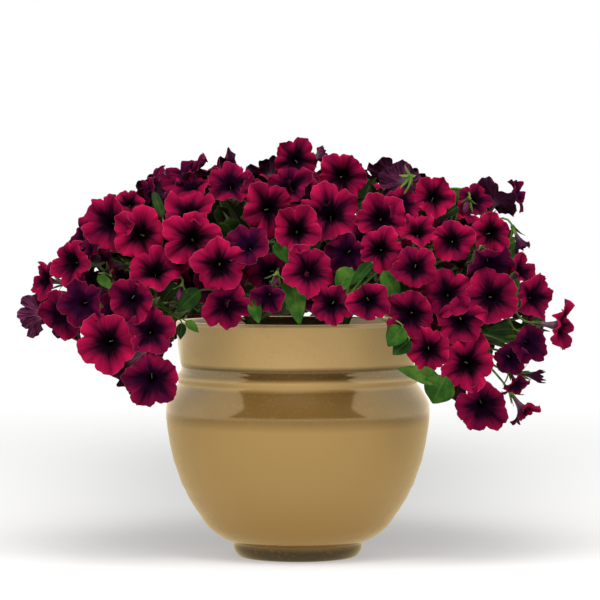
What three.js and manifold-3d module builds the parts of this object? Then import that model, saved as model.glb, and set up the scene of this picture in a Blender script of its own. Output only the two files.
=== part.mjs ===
// A glazed ceramic bowl planter filled with trailing petunias.
// Millimetres, +Z up. The origin is on the ground under the middle of the planting.
import * as THREE from "three";
import { mergeVertices } from "three/addons/utils/BufferGeometryUtils.js";
import Module from "manifold-3d";

const wasm = await Module();
wasm.setup();

// ---------------------------------------------------------------- driving dimensions
const GAP = 0.35; // clearance between touching pieces
const ROUND_SEGMENTS = 24;
const RIM_RADIUS = 138;
const RIM_HEIGHT = 267.4;
const FOOT_RADIUS = 68.5;
const FOOT_RECESS_RADIUS = 58;
const FOOT_RECESS_DEPTH = 5;
const BELLY_RADIUS = 150;
const BELLY_HEIGHT = 168;

// [radius, height] of the bowl's outer face, from the foot up to the rim
const BOWL_OUTSIDE = [
  [FOOT_RADIUS, 0],
  [73, 9],
  [73.2, 15],
  [89.6, 23.6],
  [111.3, 47.4],
  [128.7, 76.8],
  [141.4, 109.3],
  [148, 140],
  [BELLY_RADIUS, BELLY_HEIGHT],
  [144, 182],
  [136, 196.6],
  [136.2, 205],
  [132.6, 210],
  [132.8, 217.5],
  [136.6, 240],
  [RIM_RADIUS, RIM_HEIGHT - 2.5],
  [RIM_RADIUS - 1.2, RIM_HEIGHT],
];
// [radius, height] of its inner face, from the rim down to the middle of its floor
const BOWL_INSIDE = [
  [RIM_RADIUS - 8, RIM_HEIGHT],
  [123.5, 212],
  [137, 168],
  [119, 82],
  [94, 44],
  [60, 24],
  [0, 20],
];
const SOIL_RIM = [126, 238]; // where the soil meets the wall
const SOIL_TOP = 250;
const SOIL_SHOULDER = [70, 247];

const CROWN_RING_RADIUS = 62; // the six plants stand on this circle
const PLANT_COUNT = 6;
const FRONT_PLANT = 4; // in front of it the rim is bare, so its shoots end above
const FRONT_SHOOT_HEIGHT = 296;
const STUB_RADIUS = 5;
const HOLE_RADIUS = STUB_RADIUS + GAP;
const HOLE_FLOOR = 226;
const STUB_SIDES = 6;

const STEM_RADIUS = 3.2;
const STEM_SIDES = 3;
const STALK_RADIUS = 1.3;
const STEM_STEPS = 5;
const STALK_KNEE = 8; // from a flower back to the bend of a stalk that comes from ahead of it
const STALK_TURN = 0.1; // the cosine of the sharpest turn without that bend
const ROOT_SLIDE = 0.24; // stalks and leaves keep apart along a shoot
const SLIVER = 0.2; // edges finer than this are left out of a fused body

const BLOOM_BASE = 1.1; // length behind the mouth, as a share of the bloom's radius
const PETAL_THICKNESS = 1;
// A bloom's shape, in shares of its radius and degrees
const BLOOM = {
  throat: 0.55, // how deep the trumpet opens
  mouth: 0.22, // where the petals leave the trumpet
  neck: 0.27, // the same on their backs
  neckDrop: 0.09,
  notch: 0.8, // between two lobes
  plainNotch: 0.86,
  notchRise: 0.05,
  lobeRise: 0.1,
  lobeTurn: 17, // from a lobe's middle to its shoulders
  ruffle: 0.1,
  closing: 0.8, // how far the lobes of a closed one stand up
};
const SMALL_BLOOM = 25; // pixels: smaller ones, half hidden, have plainer lobes
const PETAL_RISE = 0.08; // of a bloom's radius, from its mouth to its rim
const NEIGHBOUR_SHARE = 0.95;
const NESTLE_REACH = 26;
const FLATTEST = 0.35;
const CALYX_LENGTH = 4.5;
const CUP_GAP = 0.5;
const BUD_RADIUS = 4;
const SEPAL_SPREAD = 5.6;
const SEPAL_REACH = 7;
const LEAF_THICKNESS = 0.9;
const SHOOT_LEAF = { length: 58, width: 36 };
const LEAF_ROOT_DEPTH = 1.6;
const LEAFY_SHOOTS = 2; // of each plant's four
const LEAF_STALK_SHARE = 0.08; // half its stalk's width, as a share of the leaf's
const NODE_LIMIT = 52; // bunches of blooms
const SMALLEST_PIECE = 60; // mm3: looser scraps are dropped

// The photograph's view: one pixel at the planting's axis, the eye's height and its distance
const PIXEL = 1.135;
const MIDDLE_COLUMN = 297.8;
const HORIZON_ROW = 208.9;
const EYE_HEIGHT = 394;
const EYE_DISTANCE = 3300;

// The planting's rounded outline: half its width, half its depth, half its height, its middle,
// and how square it is, from 2 for an ellipse
const MOUND = { halfWidth: 320, halfDepth: 199, halfHeight: 190, middle: 275, power: 2.2 };
const SHOOT_SPREAD = { halfWidth: 296, halfDepth: 203 }; // the shoots' ends lie within this
const STALK_REACH = 32; // a stalk looks for its shoot this far behind the bloom's base

// Blooms that the photograph shows: column and row in pixels, radius in pixels, the way they
// face (degrees to the right, degrees up), and where it differs, the millimetres that they
// stand out of the mound's outline, then how far they are open
const FRONT_BLOOMS = [
  [109, 223, 29, -30, 5],
  [131, 203, 17, 5, 45, -34],
  [139, 234, 28, -5, 5, 8],
  [154, 271, 28, 0, 42, 10],
  [72, 262, 25, -42, 6],
  [191, 239, 30, 0, 4, 6],
  [189, 211, 26, -12, 46, -6],
  [230, 184, 24, -4, 32, -4],
  [256, 193, 17, 24, 30, -34],
  [192, 187, 24, -26, 62, -30],
  [269, 209, 27, 12, 2],
  [295, 160, 23, -6, 6],
  [319, 157, 14, 118, 12, -36, 0.8],
  [343, 176, 25, 4, 2, 4],
  [331, 214, 30, 0, 20, 8],
  [297, 231, 26, 0, 4, 14],
  [219, 266, 28, 2, -4, 12],
  [248, 246, 23, -22, 32, 2],
  [309, 272, 26, 8, 14, 4],
  [226, 306, 26, 2, -20, -8],
  [369, 301, 22, 4, -8, -4],
  [332, 305, 22, -6, -6, -6],
  [268, 297, 18, -20, -30, -20],
  [347, 254, 22, -16, -12, -8],
  [382, 219, 27, 2, 4, 6],
  [402, 205, 19, 18, 24, -22],
  [381, 250, 24, -4, 2, 8],
  [418, 232, 21, 6, 46, -2],
  [433, 197, 21, 4, 14, -4],
  [452, 241, 22, -4, 4, 8],
  [491, 233, 21, 12, 4],
  [415, 268, 22, -4, -8, -6],
  [492, 297, 28, 2, 2, 12],
  [448, 295, 24, -4, 4, 4],
  [412, 315, 26, -6, -4, 4],
  [462, 321, 25, 0, -6, 6],
  [532, 297, 23, 34, 4, 2],
  [519, 271, 19, 46, 34, -14],
  [560, 326, 25, 68, -6, -12],
  [488, 264, 25, 18, -36, -14],
  [402, 184, 23, 196, -16, -22],
  [492, 200, 25, 152, 52, -24],
  [515, 196, 18, 76, 18, -40],
  [518, 242, 15, 56, -62, -30, 0.6],
  [473, 201, 18, 8, 22, -20],
  [108, 342, 30, -6, 0, 10],
  [150, 332, 25, 4, 6, 0],
  [152, 380, 29, 4, -14, -6],
  [132, 299, 24, -4, -8, -12],
  [84, 303, 24, -16, -4, -10],
  [62, 314, 24, -30, -16, -18],
  [38, 314, 23, -128, 4, -6],
  [46, 280, 20, -52, 10, -8],
  [430, 351, 23, 0, -6, 4],
  [469, 364, 29, 4, 0, 10],
  [482, 405, 28, 12, -24, 0],
  [527, 342, 20, 24, -10, -14],
  [509, 357, 18, 10, -10, -24],
  [515, 384, 15, 28, -50, -24],
  [525, 412, 21, 62, -52, -22, 0.8],
  [534, 376, 14, 84, -8, -16, 0.5],
];

// Bunches of three blooms on top: across, back from the middle, height
const TOP_BUNCHES = [
  [-138, 6, 396],
  [4, 12, 424],
  [146, 6, 400],
];
// Rings of bunches round the back: height, half width, half depth, count, degrees up
const BACK_RINGS = [
  [240, 206, 186, 3, -12],
  [304, 242, 190, 4, 4],
  [370, 196, 140, 3, 26],
];
const BACK_SPAN = 196; // degrees that the rings run round the back
const BACK_BLOOM_RADIUS = 36;
const BUNCH_TILT = 0.34; // how far the blooms of a bunch lean apart
const BUNCH_SPREAD = 0.98; // from a bunch's middle to each bloom's, in bloom radii

// Leaves that the photograph shows: column and row of the base and of the tip, width in
// millimetres, and how far they stand out of the mound's outline
const FRONT_LEAVES = [
  [446, 376, 432, 404, 36, 0],
  [440, 381, 400, 368, 20, -10],
  [403, 327, 388, 346, 24, -14],
  [410, 340, 393, 354, 20, -12],
  [513, 329, 488, 330, 17, 0],
  [290, 274, 300, 324, 25, -26],
  [351, 268, 337, 291, 22, -20],
  [372, 262, 351, 283, 13, -6],
  [252, 300, 259, 323, 15, -26],
  [186, 321, 198, 331, 10, -30],
  [182, 323, 180, 339, 11, -30],
  [163, 218, 151, 183, 11, -10],
  [383, 271, 400, 301, 20, -24],
  [275, 243, 288, 262, 15, -16],
  [455, 203, 457, 184, 9, -24],
  [458, 207, 440, 217, 12, -18],
  [430, 225, 413, 218, 13, -16],
  [176, 284, 160, 301, 18, -30],
  [200, 290, 176, 311, 21, -30],
  [98, 276, 113, 289, 12, -20],
];
// Unopened buds: column and row of the tip, the way they point (right, up), their length
const BUDS = [
  [165, 192, 10, 55, 24, -24],
  [464, 213, -20, -40, 26, -4],
  [178, 300, -12, -42, 24, -20],
  [274, 286, -14, -46, 20, -14],
  [106, 269, -10, 20, 16, -30],
];

const LOOKS = {
  pot: { color: 0xb09352, roughness: 0.2 },
  soil: { color: 0x2b1e16, roughness: 1 },
  green: { color: 0x37602a, roughness: 0.6 },
  petal: { color: 0x8e0f3c, roughness: 0.75 },
};

// ---------------------------------------------------------------- small helpers
const radians = THREE.MathUtils.degToRad;
const vector = (x, y, z) => new THREE.Vector3(x, y, z);

/** A repeatable draw from 0 to 1 for one item and one purpose. */
function draw(item, purpose) {
  const wave = Math.sin(item * 12.9898 + purpose * 78.233) * 43758.5453;
  return wave - Math.floor(wave);
}

/** A point that the photograph shows, given how far in front of the axis it lies. */
function fromPhoto(column, row, depth) {
  const scale = (PIXEL * (EYE_DISTANCE - depth)) / EYE_DISTANCE;
  return vector(
    (column - MIDDLE_COLUMN) * scale,
    -depth,
    EYE_HEIGHT - (row - HORIZON_ROW) * scale,
  );
}

/** How far up or down the mound a height lies: 0 at its middle, 1 at its top and foot. */
function moundLevel(height) {
  return Math.abs((height - MOUND.middle) / MOUND.halfHeight) ** MOUND.power;
}

/** How far in front of the axis the mound's outline lies at a pixel. */
function moundDepth(column, row) {
  const flat = fromPhoto(column, row, 0.5 * MOUND.halfDepth);
  const across = Math.abs(flat.x / MOUND.halfWidth) ** MOUND.power;
  const up = moundLevel(flat.z);
  return MOUND.halfDepth * Math.sqrt(Math.max(0, 1 - across - up));
}

function photoPoint(column, row, lift = 0) {
  return fromPhoto(column, row, moundDepth(column, row) + lift);
}

/** The direction some degrees to the right of the viewer, and some degrees up. */
function facing(right, up) {
  const [r, u] = [radians(right), radians(up)];
  return vector(Math.sin(r) * Math.cos(u), -Math.cos(r) * Math.cos(u), Math.sin(u));
}

/** A rotation that turns +Z to an axis, with +Y as near upright as it goes. */
function standAlong(axis, origin) {
  const side = vector(0, 0, 1).cross(axis);
  if (side.length() < 0.05) side.set(1, 0, 0);
  side.normalize();
  const up = axis.clone().cross(side);
  return new THREE.Matrix4().makeBasis(side, up, axis).setPosition(origin);
}

function facesGeometry(points, faces) {
  const geometry = new THREE.BufferGeometry();
  const flat = points.flatMap((p) => [p.x, p.y, p.z]);
  geometry.setAttribute("position", new THREE.Float32BufferAttribute(flat, 3));
  geometry.setIndex(faces.flat());
  return geometry;
}

/** A closed geometry as a solid that can be joined and cut. */
function solid(geometry) {
  const bare = geometry.clone();
  bare.deleteAttribute("normal");
  bare.deleteAttribute("uv");
  const merged = mergeVertices(bare, 1e-3);
  const index = merged.index.array;
  const faces = [];
  for (let i = 0; i < index.length; i += 3) {
    const [a, b, c] = [index[i], index[i + 1], index[i + 2]];
    if (a !== b && b !== c && c !== a) faces.push(a, b, c);
  }
  const body = new wasm.Manifold(
    new wasm.Mesh({
      numProp: 3,
      vertProperties: new Float32Array(merged.attributes.position.array),
      triVerts: new Uint32Array(faces),
    }),
  );
  if (body.volume() < 0) throw new Error("inside out");
  return body;
}

function geometryOf(body) {
  const mesh = body.getMesh();
  const geometry = new THREE.BufferGeometry();
  geometry.setAttribute("position", new THREE.BufferAttribute(mesh.vertProperties, 3));
  geometry.setIndex(new THREE.BufferAttribute(mesh.triVerts, 1));
  return geometry;
}

/** The solid with its surface moved out, to cut a clearance into a neighbour. */
function grown(body, distance) {
  const geometry = geometryOf(body);
  const position = geometry.attributes.position;
  const index = geometry.index.array;
  const normals = Array.from({ length: position.count }, () => []);
  const corner = (i) => vector().fromBufferAttribute(position, i);
  for (let i = 0; i < index.length; i += 3) {
    const [a, b, c] = [index[i], index[i + 1], index[i + 2]];
    const normal = corner(b).sub(corner(a)).cross(corner(c).sub(corner(a))).normalize();
    for (const vertex of [a, b, c]) normals[vertex].push(normal);
  }
  normals.forEach((around, i) => {
    const mean = around.reduce((sum, n) => sum.add(n), vector(0, 0, 0)).normalize();
    const least = Math.min(...around.map((n) => n.dot(mean)));
    const moved = corner(i).addScaledVector(mean, distance / Math.max(0.4, least));
    position.setXYZ(i, moved.x, moved.y, moved.z);
  });
  return solid(geometry);
}

/** The largest separate piece of a solid. */
function largest(body) {
  const pieces = body.decompose();
  return pieces.reduce((best, piece) => (piece.volume() > best.volume() ? piece : best));
}

function boxesMeet(a, b, margin) {
  const [p, q] = [a.boundingBox(), b.boundingBox()];
  return [0, 1, 2].every(
    (i) => p.min[i] - margin < q.max[i] && q.min[i] - margin < p.max[i],
  );
}

function joined(bodies) {
  return bodies.reduce((sum, body) => sum.add(body)).simplify(SLIVER);
}

/** A closed tube along a curve. */
function tube(curve, radius, sides, steps) {
  const section = new THREE.Shape();
  for (let i = 0; i < sides; i += 1) {
    const angle = (2 * Math.PI * i) / sides;
    const [x, y] = [radius * Math.cos(angle), radius * Math.sin(angle)];
    if (i === 0) section.moveTo(x, y);
    else section.lineTo(x, y);
  }
  return new THREE.ExtrudeGeometry(section, {
    steps,
    extrudePath: curve,
    bevelEnabled: false,
  });
}

function turned(profile) {
  const points = profile.map(([radius, height]) => new THREE.Vector2(radius, height));
  return new THREE.LatheGeometry(points, ROUND_SEGMENTS).rotateX(Math.PI / 2);
}

// ---------------------------------------------------------------- bowl and soil
function bowl() {
  const underside = [
    [0, FOOT_RECESS_DEPTH],
    [FOOT_RECESS_RADIUS - 4, FOOT_RECESS_DEPTH],
    [FOOT_RECESS_RADIUS, 0],
  ];
  return solid(turned([...underside, ...BOWL_OUTSIDE, ...BOWL_INSIDE]));
}

function crownPoint(plant, height) {
  const angle = radians(30 + (360 / PLANT_COUNT) * plant);
  return vector(CROWN_RING_RADIUS * Math.cos(angle), CROWN_RING_RADIUS * Math.sin(angle), height);
}

function stub(plant, radius, bottom, top) {
  const post = new THREE.CylinderGeometry(radius, radius, top - bottom, STUB_SIDES);
  const middle = crownPoint(plant, (bottom + top) / 2);
  return solid(post.rotateX(Math.PI / 2).translate(middle.x, middle.y, middle.z));
}

function pottingSoil() {
  const walls = BOWL_INSIDE.filter(([, height]) => height < SOIL_RIM[1]);
  const wallsInside = walls.map(([radius, height]) => [
    Math.max(0, radius - 1.2 * GAP),
    height + (height < 60 ? 1.5 * GAP : 0),
  ]);
  const floorUp = wallsInside.reverse();
  let body = solid(turned([...floorUp, SOIL_RIM, SOIL_SHOULDER, [0, SOIL_TOP]]));
  for (let plant = 0; plant < PLANT_COUNT; plant += 1) {
    body = body.subtract(stub(plant, HOLE_RADIUS, HOLE_FLOOR, SOIL_TOP + 20));
  }
  return body;
}

// ---------------------------------------------------------------- shoots
/** The end of a shoot, under the mound's outline. */
function shootEnd(angle, height, inset) {
  const spread = Math.max(0.2, 1 - moundLevel(height)) ** (1 / MOUND.power);
  return vector(
    (SHOOT_SPREAD.halfWidth * spread - inset) * Math.cos(angle),
    (SHOOT_SPREAD.halfDepth * spread - inset) * Math.sin(angle),
    height,
  );
}

/** The four shoots of a plant: one upright, one leaning, two that trail over the rim. */
function shoots(plant) {
  const middle = radians(30 + (360 / PLANT_COUNT) * plant);
  const start = crownPoint(plant, SOIL_TOP + 4);
  const routes = [
    { turn: 3, height: 408, inset: 66, rise: 70, out: 0.5, arch: -34 },
    { turn: -12, height: 352, inset: 58, rise: 64, out: 0.6, arch: -6 },
    { turn: 13, height: 300, inset: 50, rise: 62, out: 0.7, arch: 12 },
    { turn: -6, height: 240, inset: 44, rise: 72, out: 0.9, arch: 16 },
  ];
  return routes.map(({ turn, height, inset, rise, out, arch }) => {
    const level = plant === FRONT_PLANT ? Math.max(height, FRONT_SHOOT_HEIGHT) : height;
    const end = shootEnd(middle + radians(turn), level, inset);
    const lifted = start.clone().add(vector(0, 0, rise));
    const above = start.clone().lerp(end, out);
    above.z = Math.max(end.z, lifted.z) + arch;
    return new THREE.CubicBezierCurve3(start, lifted, above, end);
  });
}

function plantOf(point) {
  const angle = Math.atan2(point.y / MOUND.halfDepth, point.x / MOUND.halfWidth);
  const turns = (THREE.MathUtils.radToDeg(angle) + 360) % 360;
  return Math.floor(turns / (360 / PLANT_COUNT));
}

/** A place on a plant's shoots near a point, past their bare lower part. */
function nearestOnShoots(curves, point, item) {
  const slide = ROOT_SLIDE * (0.5 + draw(item, 20));
  let best = { distance: Infinity };
  for (const curve of curves) {
    const joints = curve.getSpacedPoints(STEM_STEPS);
    for (let i = 1; i < STEM_STEPS; i += 1) {
      const stretch = new THREE.Line3(joints[i], joints[i + 1]);
      const place = stretch.closestPointToPoint(point, true, vector(0, 0, 0));
      place.lerp(stretch.getCenter(vector(0, 0, 0)), slide);
      const distance = place.distanceTo(point);
      if (distance < best.distance) best = { distance, place };
    }
  }
  return best.place;
}

/** The middles of a stalk from the nearest shoot to a tip, its last stretch along the axis if need be. */
function stalkCentres(curves, tip, axis, item) {
  const low = tip.z < RIM_HEIGHT;
  const sought = low
    ? tip.clone().add(vector(0, 0, 0.5 * STALK_REACH))
    : tip.clone().addScaledVector(axis, -STALK_REACH);
  const root = nearestOnShoots(curves, sought, item);
  const direct = tip.clone().sub(root).normalize().dot(axis) > STALK_TURN;
  return direct ? [root, tip] : [root, tip.clone().addScaledVector(axis, -STALK_KNEE), tip];
}

/** Frames along a broken line that halve its bends, each turned as little as may be. */
function framesAlong(centres, endAxis) {
  let side = null;
  return centres.map((centre, i) => {
    const before = centres[i - 1] ?? centre;
    const after = centres[i + 1];
    const axis = after ? after.clone().sub(centre).normalize() : endAxis.clone();
    if (after) axis.add(centre.clone().sub(before).normalize()).normalize();
    side ??= vector(axis.y, axis.z, axis.x);
    side = side.clone().addScaledVector(axis, -side.dot(axis)).normalize();
    return new THREE.Matrix4().makeBasis(side, axis.clone().cross(side), axis).setPosition(centre);
  });
}

/** Points evenly round a frame's axis. */
function ring(frame, radius, sides, height = 0) {
  return Array.from({ length: sides }, (_, corner) => {
    const angle = (2 * Math.PI * corner) / sides;
    return vector(radius * Math.cos(angle), radius * Math.sin(angle), height).applyMatrix4(frame);
  });
}

/** The sides of a tube between rings of points that follow each other in a list. */
function tubeFaces(rings, sides) {
  const faces = [];
  for (let first = 0; first < (rings - 1) * sides; first += sides) {
    for (let i = 0; i < sides; i += 1) {
      const [a, b] = [first + i, first + ((i + 1) % sides)];
      faces.push([a, b, b + sides], [a, b + sides, a + sides]);
    }
  }
  return faces;
}

// ---------------------------------------------------------------- flowers, calyces, leaves
/** How far in front of the axis a bloom's petals lie, seen at a point of the view. */
function petalDepth({ place, axis, radius }, x, z) {
  const rise = PETAL_RISE * radius - axis.x * (x - place.x) - axis.z * (z - place.z);
  return -(place.y + rise / Math.min(-FLATTEST, axis.y));
}

/** Moves a bloom to or from the viewer until its petals meet those of its nearest neighbour. */
function nestle(bloom, settled) {
  const gap = (other) =>
    Math.hypot(other.place.x - bloom.place.x, other.place.z - bloom.place.z) /
    (other.radius + bloom.radius);
  const nearest = settled.reduce((a, b) => (gap(b) < gap(a) ? b : a));
  if (gap(nearest) > NEIGHBOUR_SHARE) return;
  const x = (bloom.place.x + nearest.place.x) / 2;
  const z = (bloom.place.z + nearest.place.z) / 2;
  const apart = petalDepth(nearest, x, z) - petalDepth(bloom, x, z);
  bloom.place.y -= THREE.MathUtils.clamp(apart, -NESTLE_REACH, NESTLE_REACH);
}

/** Every bloom: its mouth, the way it faces, radius, openness and roll. */
function bloomList() {
  const blooms = [];
  for (const [column, row, size, right, up, lift = 0, open = 1] of FRONT_BLOOMS) {
    const place = photoPoint(column, row, lift);
    const radius = (size * PIXEL * (EYE_DISTANCE + place.y)) / EYE_DISTANCE;
    const bloom = { place, axis: facing(right, up), radius, open, plain: size < SMALL_BLOOM };
    if (blooms.length) nestle(bloom, blooms);
    blooms.push(bloom);
  }
  const bunch = (middle, outward, item) => {
    const turn = standAlong(outward, middle);
    for (let i = 0; i < 3; i += 1) {
      const angle = radians(120 * i + 120 * draw(item, 1));
      const spread = BUNCH_SPREAD * BACK_BLOOM_RADIUS;
      const offset = vector(Math.cos(angle), Math.sin(angle), 0);
      const place = offset.clone().multiplyScalar(spread).applyMatrix4(turn);
      const tilted = offset.multiplyScalar(BUNCH_TILT).setZ(1).applyMatrix4(turn).sub(middle);
      const radius = BACK_BLOOM_RADIUS * (0.94 + 0.12 * draw(item + i, 2));
      blooms.push({ place, axis: tilted.normalize(), radius, open: 1, plain: true });
    }
  };
  TOP_BUNCHES.forEach(([x, y, z], i) => {
    bunch(vector(x, y, z), vector(0.0022 * x, 0.1, 1).normalize(), 200 + 10 * i);
  });
  BACK_RINGS.forEach(([height, halfWidth, halfDepth, count, up], ring) => {
    for (let i = 0; i < count; i += 1) {
      const item = 300 + 100 * ring + 10 * i;
      const turn = ((i + 0.5) / count - 0.5) * BACK_SPAN + 12 * (draw(item, 3) - 0.5);
      const angle = radians(turn);
      const level = height + 24 * (draw(item, 4) - 0.5);
      const middle = vector(halfWidth * Math.sin(angle), halfDepth * Math.cos(angle), level);
      bunch(middle, facing(180 - 0.85 * turn, up), item);
    }
  });
  return blooms.map((bloom, item) => ({ ...bloom, item, roll: 72 * draw(item, 6) }));
}

/** A five-lobed trumpet along +Z, its mouth at the origin. Plain ones have pointed lobes. */
function bloomGeometry({ item, radius, open, roll, plain }) {
  const points = [];
  const add = (degrees, out, height) => {
    const angle = radians(degrees);
    const flat = vector(out * Math.cos(angle), out * Math.sin(angle), height);
    return points.push(flat.multiplyScalar(radius)) - 1;
  };
  const lifted = BLOOM.closing * (1 - open);
  const thickness = PETAL_THICKNESS / radius;
  const lobeTurns = plain ? [0] : [-BLOOM.lobeTurn, BLOOM.lobeTurn];
  const notchOut = (plain ? BLOOM.plainNotch : BLOOM.notch) * open;
  const throat = add(0, 0, -BLOOM.throat);
  const base = add(0, 0, -BLOOM_BASE);
  const lobes = Array.from({ length: 5 }, (_, lobe) => {
    const middle = roll + 72 * lobe;
    const edges = lobeTurns.map((turn, side) => {
      const ruffle = BLOOM.ruffle * (draw(item, 10 + 2 * lobe + side) - 0.5);
      const out = (1 + ruffle) * open;
      const height = BLOOM.lobeRise - ruffle + lifted;
      return {
        front: add(middle + turn, out, height),
        back: add(middle + turn, out, height - thickness),
      };
    });
    return {
      edges,
      mouth: add(middle, BLOOM.mouth, 0),
      neck: add(middle, BLOOM.neck, -BLOOM.neckDrop),
      notch: add(middle - 36, notchOut, BLOOM.notchRise + BLOOM.closing * lifted),
    };
  });
  const faces = [];
  lobes.forEach(({ edges, mouth, neck, notch }, lobe) => {
    const next = lobes[(lobe + 1) % 5];
    const [left, right] = [edges[0], edges.at(-1)];
    faces.push([throat, mouth, next.mouth], [base, next.neck, neck]);
    faces.push([mouth, notch, left.front], [neck, left.back, notch]);
    faces.push([mouth, right.front, next.notch], [neck, next.notch, right.back]);
    faces.push([mouth, next.notch, next.mouth], [neck, next.neck, next.notch]);
    faces.push([left.front, notch, left.back], [right.front, right.back, next.notch]);
    if (left !== right) {
      faces.push([mouth, left.front, right.front], [neck, right.back, left.back]);
      faces.push([left.front, left.back, right.back], [left.front, right.back, right.front]);
    }
  });
  return facesGeometry(points, faces);
}

function bloomBase({ place, axis, radius }) {
  return place.clone().addScaledVector(axis, -BLOOM_BASE * radius);
}

/** A three-sided stalk that opens into a cup of five sepals round the bloom's narrow end. */
function stalkAndCalyx(bloom, curves) {
  const base = bloomBase(bloom);
  const neck = base.clone().addScaledVector(bloom.axis, -CALYX_LENGTH);
  const centres = stalkCentres(curves, neck, bloom.axis, bloom.item);
  const frames = framesAlong(centres, bloom.axis);
  const end = 3 * (centres.length - 1);
  const points = [
    ...frames.flatMap((frame) => ring(frame, STALK_RADIUS, 3)),
    ...ring(frames.at(-1), SEPAL_SPREAD, 5, CALYX_LENGTH + SEPAL_REACH),
    base.clone().addScaledVector(bloom.axis, -CUP_GAP),
  ];
  const [a, b, c, p, q, r, s, t, inside] = Array.from({ length: 9 }, (_, i) => end + i);
  return solid(
    facesGeometry(points, [
      [2, 1, 0],
      ...tubeFaces(centres.length, 3),
      // The stalk's three corners meet the five sepals in turn round the cup
      ...[[a, q, p], [a, b, q], [b, r, q], [b, s, r], [b, c, s], [c, t, s], [c, a, t], [a, p, t]],
      ...[[inside, p, q], [inside, q, r], [inside, r, s], [inside, s, t], [inside, t, p]],
    ]),
  );
}

/** An oval leaf with a folded middle, its stalk drawn out to a root on the shoot. */
function leaf(root, base, tip, width, outward) {
  const along = tip.clone().sub(base);
  const side = along.clone().cross(outward).normalize();
  const normal = side.clone().cross(along).normalize();
  const at = (share, across, height) =>
    base
      .clone()
      .addScaledVector(along, share)
      .addScaledVector(side, across * width)
      .addScaledVector(normal, height);
  const fold = 0.06 * along.length();
  const blade = [
    at(0.3, -0.42, fold),
    at(0.68, -0.4, fold),
    at(1, 0, -0.5 * fold),
    at(0.68, 0.4, fold),
    at(0.3, 0.42, fold),
  ];
  const middle = at(0.5, 0, 0);
  const flat = normal.clone().multiplyScalar(-LEAF_THICKNESS);
  if (!root) return sheet([at(0, 0, 0), ...blade, middle], () => flat, fan([0, 1, 2, 3, 4, 5], 6));

  // The stalk is as thick as the blade, which takes a mitre where the two meet at an angle
  const drawn = base.clone().sub(root).normalize();
  const past = root.clone().addScaledVector(drawn, -LEAF_ROOT_DEPTH);
  const stalkNormal = side.clone().cross(drawn).normalize();
  const bend = normal.clone().add(stalkNormal).normalize();
  const mitre = bend.clone().multiplyScalar(-LEAF_THICKNESS / Math.max(0.5, bend.dot(normal)));
  const end = stalkNormal.clone().multiplyScalar(-LEAF_THICKNESS);
  const near = at(0, -LEAF_STALK_SHARE, 0);
  const far = at(0, LEAF_STALK_SHARE, 0);
  const depths = [end, mitre, ...blade.map(() => flat), mitre, flat];
  const faces = [[0, 7, 1], ...fan([1, 2, 3, 4, 5, 6, 7], 8)];
  return sheet([past, near, ...blade, far, middle], (i) => depths[i], faces);
}

/** Triangles from a middle point to each side of an outline. */
function fan(outline, middle) {
  return outline.map((i, k) => [middle, outline[(k + 1) % outline.length], i]);
}

/** A thin closed sheet: points of its outline and, last, its middle, each with the way to its underside. */
function sheet(points, depthAt, top) {
  const under = points.map((point, i) => point.clone().add(depthAt(i)));
  const low = points.length;
  const edge = low - 1;
  const faces = top.flatMap(([a, b, c]) => [[a, b, c], [low + a, low + c, low + b]]);
  for (let i = 0; i < edge; i += 1) {
    const j = (i + 1) % edge;
    faces.push([i, low + j, low + i], [i, j, low + j]);
  }
  return solid(facesGeometry([...points, ...under], faces));
}

function frontLeaf([baseColumn, baseRow, tipColumn, tipRow, width, lift], curves) {
  const base = photoPoint(baseColumn, baseRow, lift);
  const tip = photoPoint(tipColumn, tipRow, lift + 4);
  return leaf(nearestOnShoots(curves, base, baseColumn), base, tip, width, vector(0, -1, 0.35).normalize());
}

/** Leaves along the shoots, inside the flowers. */
function shootLeaves(plant, curves) {
  return curves.slice(0, LEAFY_SHOOTS).map((curve, shoot) => {
    const item = 500 + 10 * plant + shoot;
    const joints = curve.getSpacedPoints(STEM_STEPS);
    const root = joints[3].clone().lerp(joints[4], 0.1 + 0.8 * draw(item, 1));
    const outward = vector(root.x, root.y, 0).normalize();
    const axis = vector(0, 0, 0.7 - 0.35 * shoot)
      .addScaledVector(outward, 1)
      .addScaledVector(vector(-outward.y, outward.x, 0), 1.2 * (draw(item, 2) - 0.5))
      .normalize();
    const base = root.clone().addScaledVector(axis, -1);
    const tip = root.clone().addScaledVector(axis, SHOOT_LEAF.length);
    return leaf(null, base, tip, SHOOT_LEAF.width, vector(0, 0, 1));
  });
}

/** A slim closed flower at the end of its stalk. */
function bud([column, row, right, up, length, lift], curves) {
  const tip = photoPoint(column, row, lift);
  const axis = facing(right, up);
  const base = tip.clone().addScaledVector(axis, -length);
  const centres = stalkCentres(curves, base, axis, 600 + column);
  const frames = framesAlong(centres, axis);
  const points = [
    ...frames.flatMap((frame) => ring(frame, STALK_RADIUS, 4)),
    ...ring(frames.at(-1), BUD_RADIUS, 4, 0.7 * length),
    tip,
  ];
  const rings = centres.length + 1;
  const faces = [[2, 1, 0], [3, 2, 0], ...tubeFaces(rings, 4)];
  const widest = 4 * (rings - 1);
  for (let i = 0; i < 4; i += 1) faces.push([widest + i, widest + ((i + 1) % 4), points.length - 1]);
  return solid(facesGeometry(points, faces));
}

// ---------------------------------------------------------------- assembly
const blooms = bloomList();
const plants = Array.from({ length: PLANT_COUNT }, (_, plant) => ({
  curves: shoots(plant),
  wood: [],
  leaves: [],
}));

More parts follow.
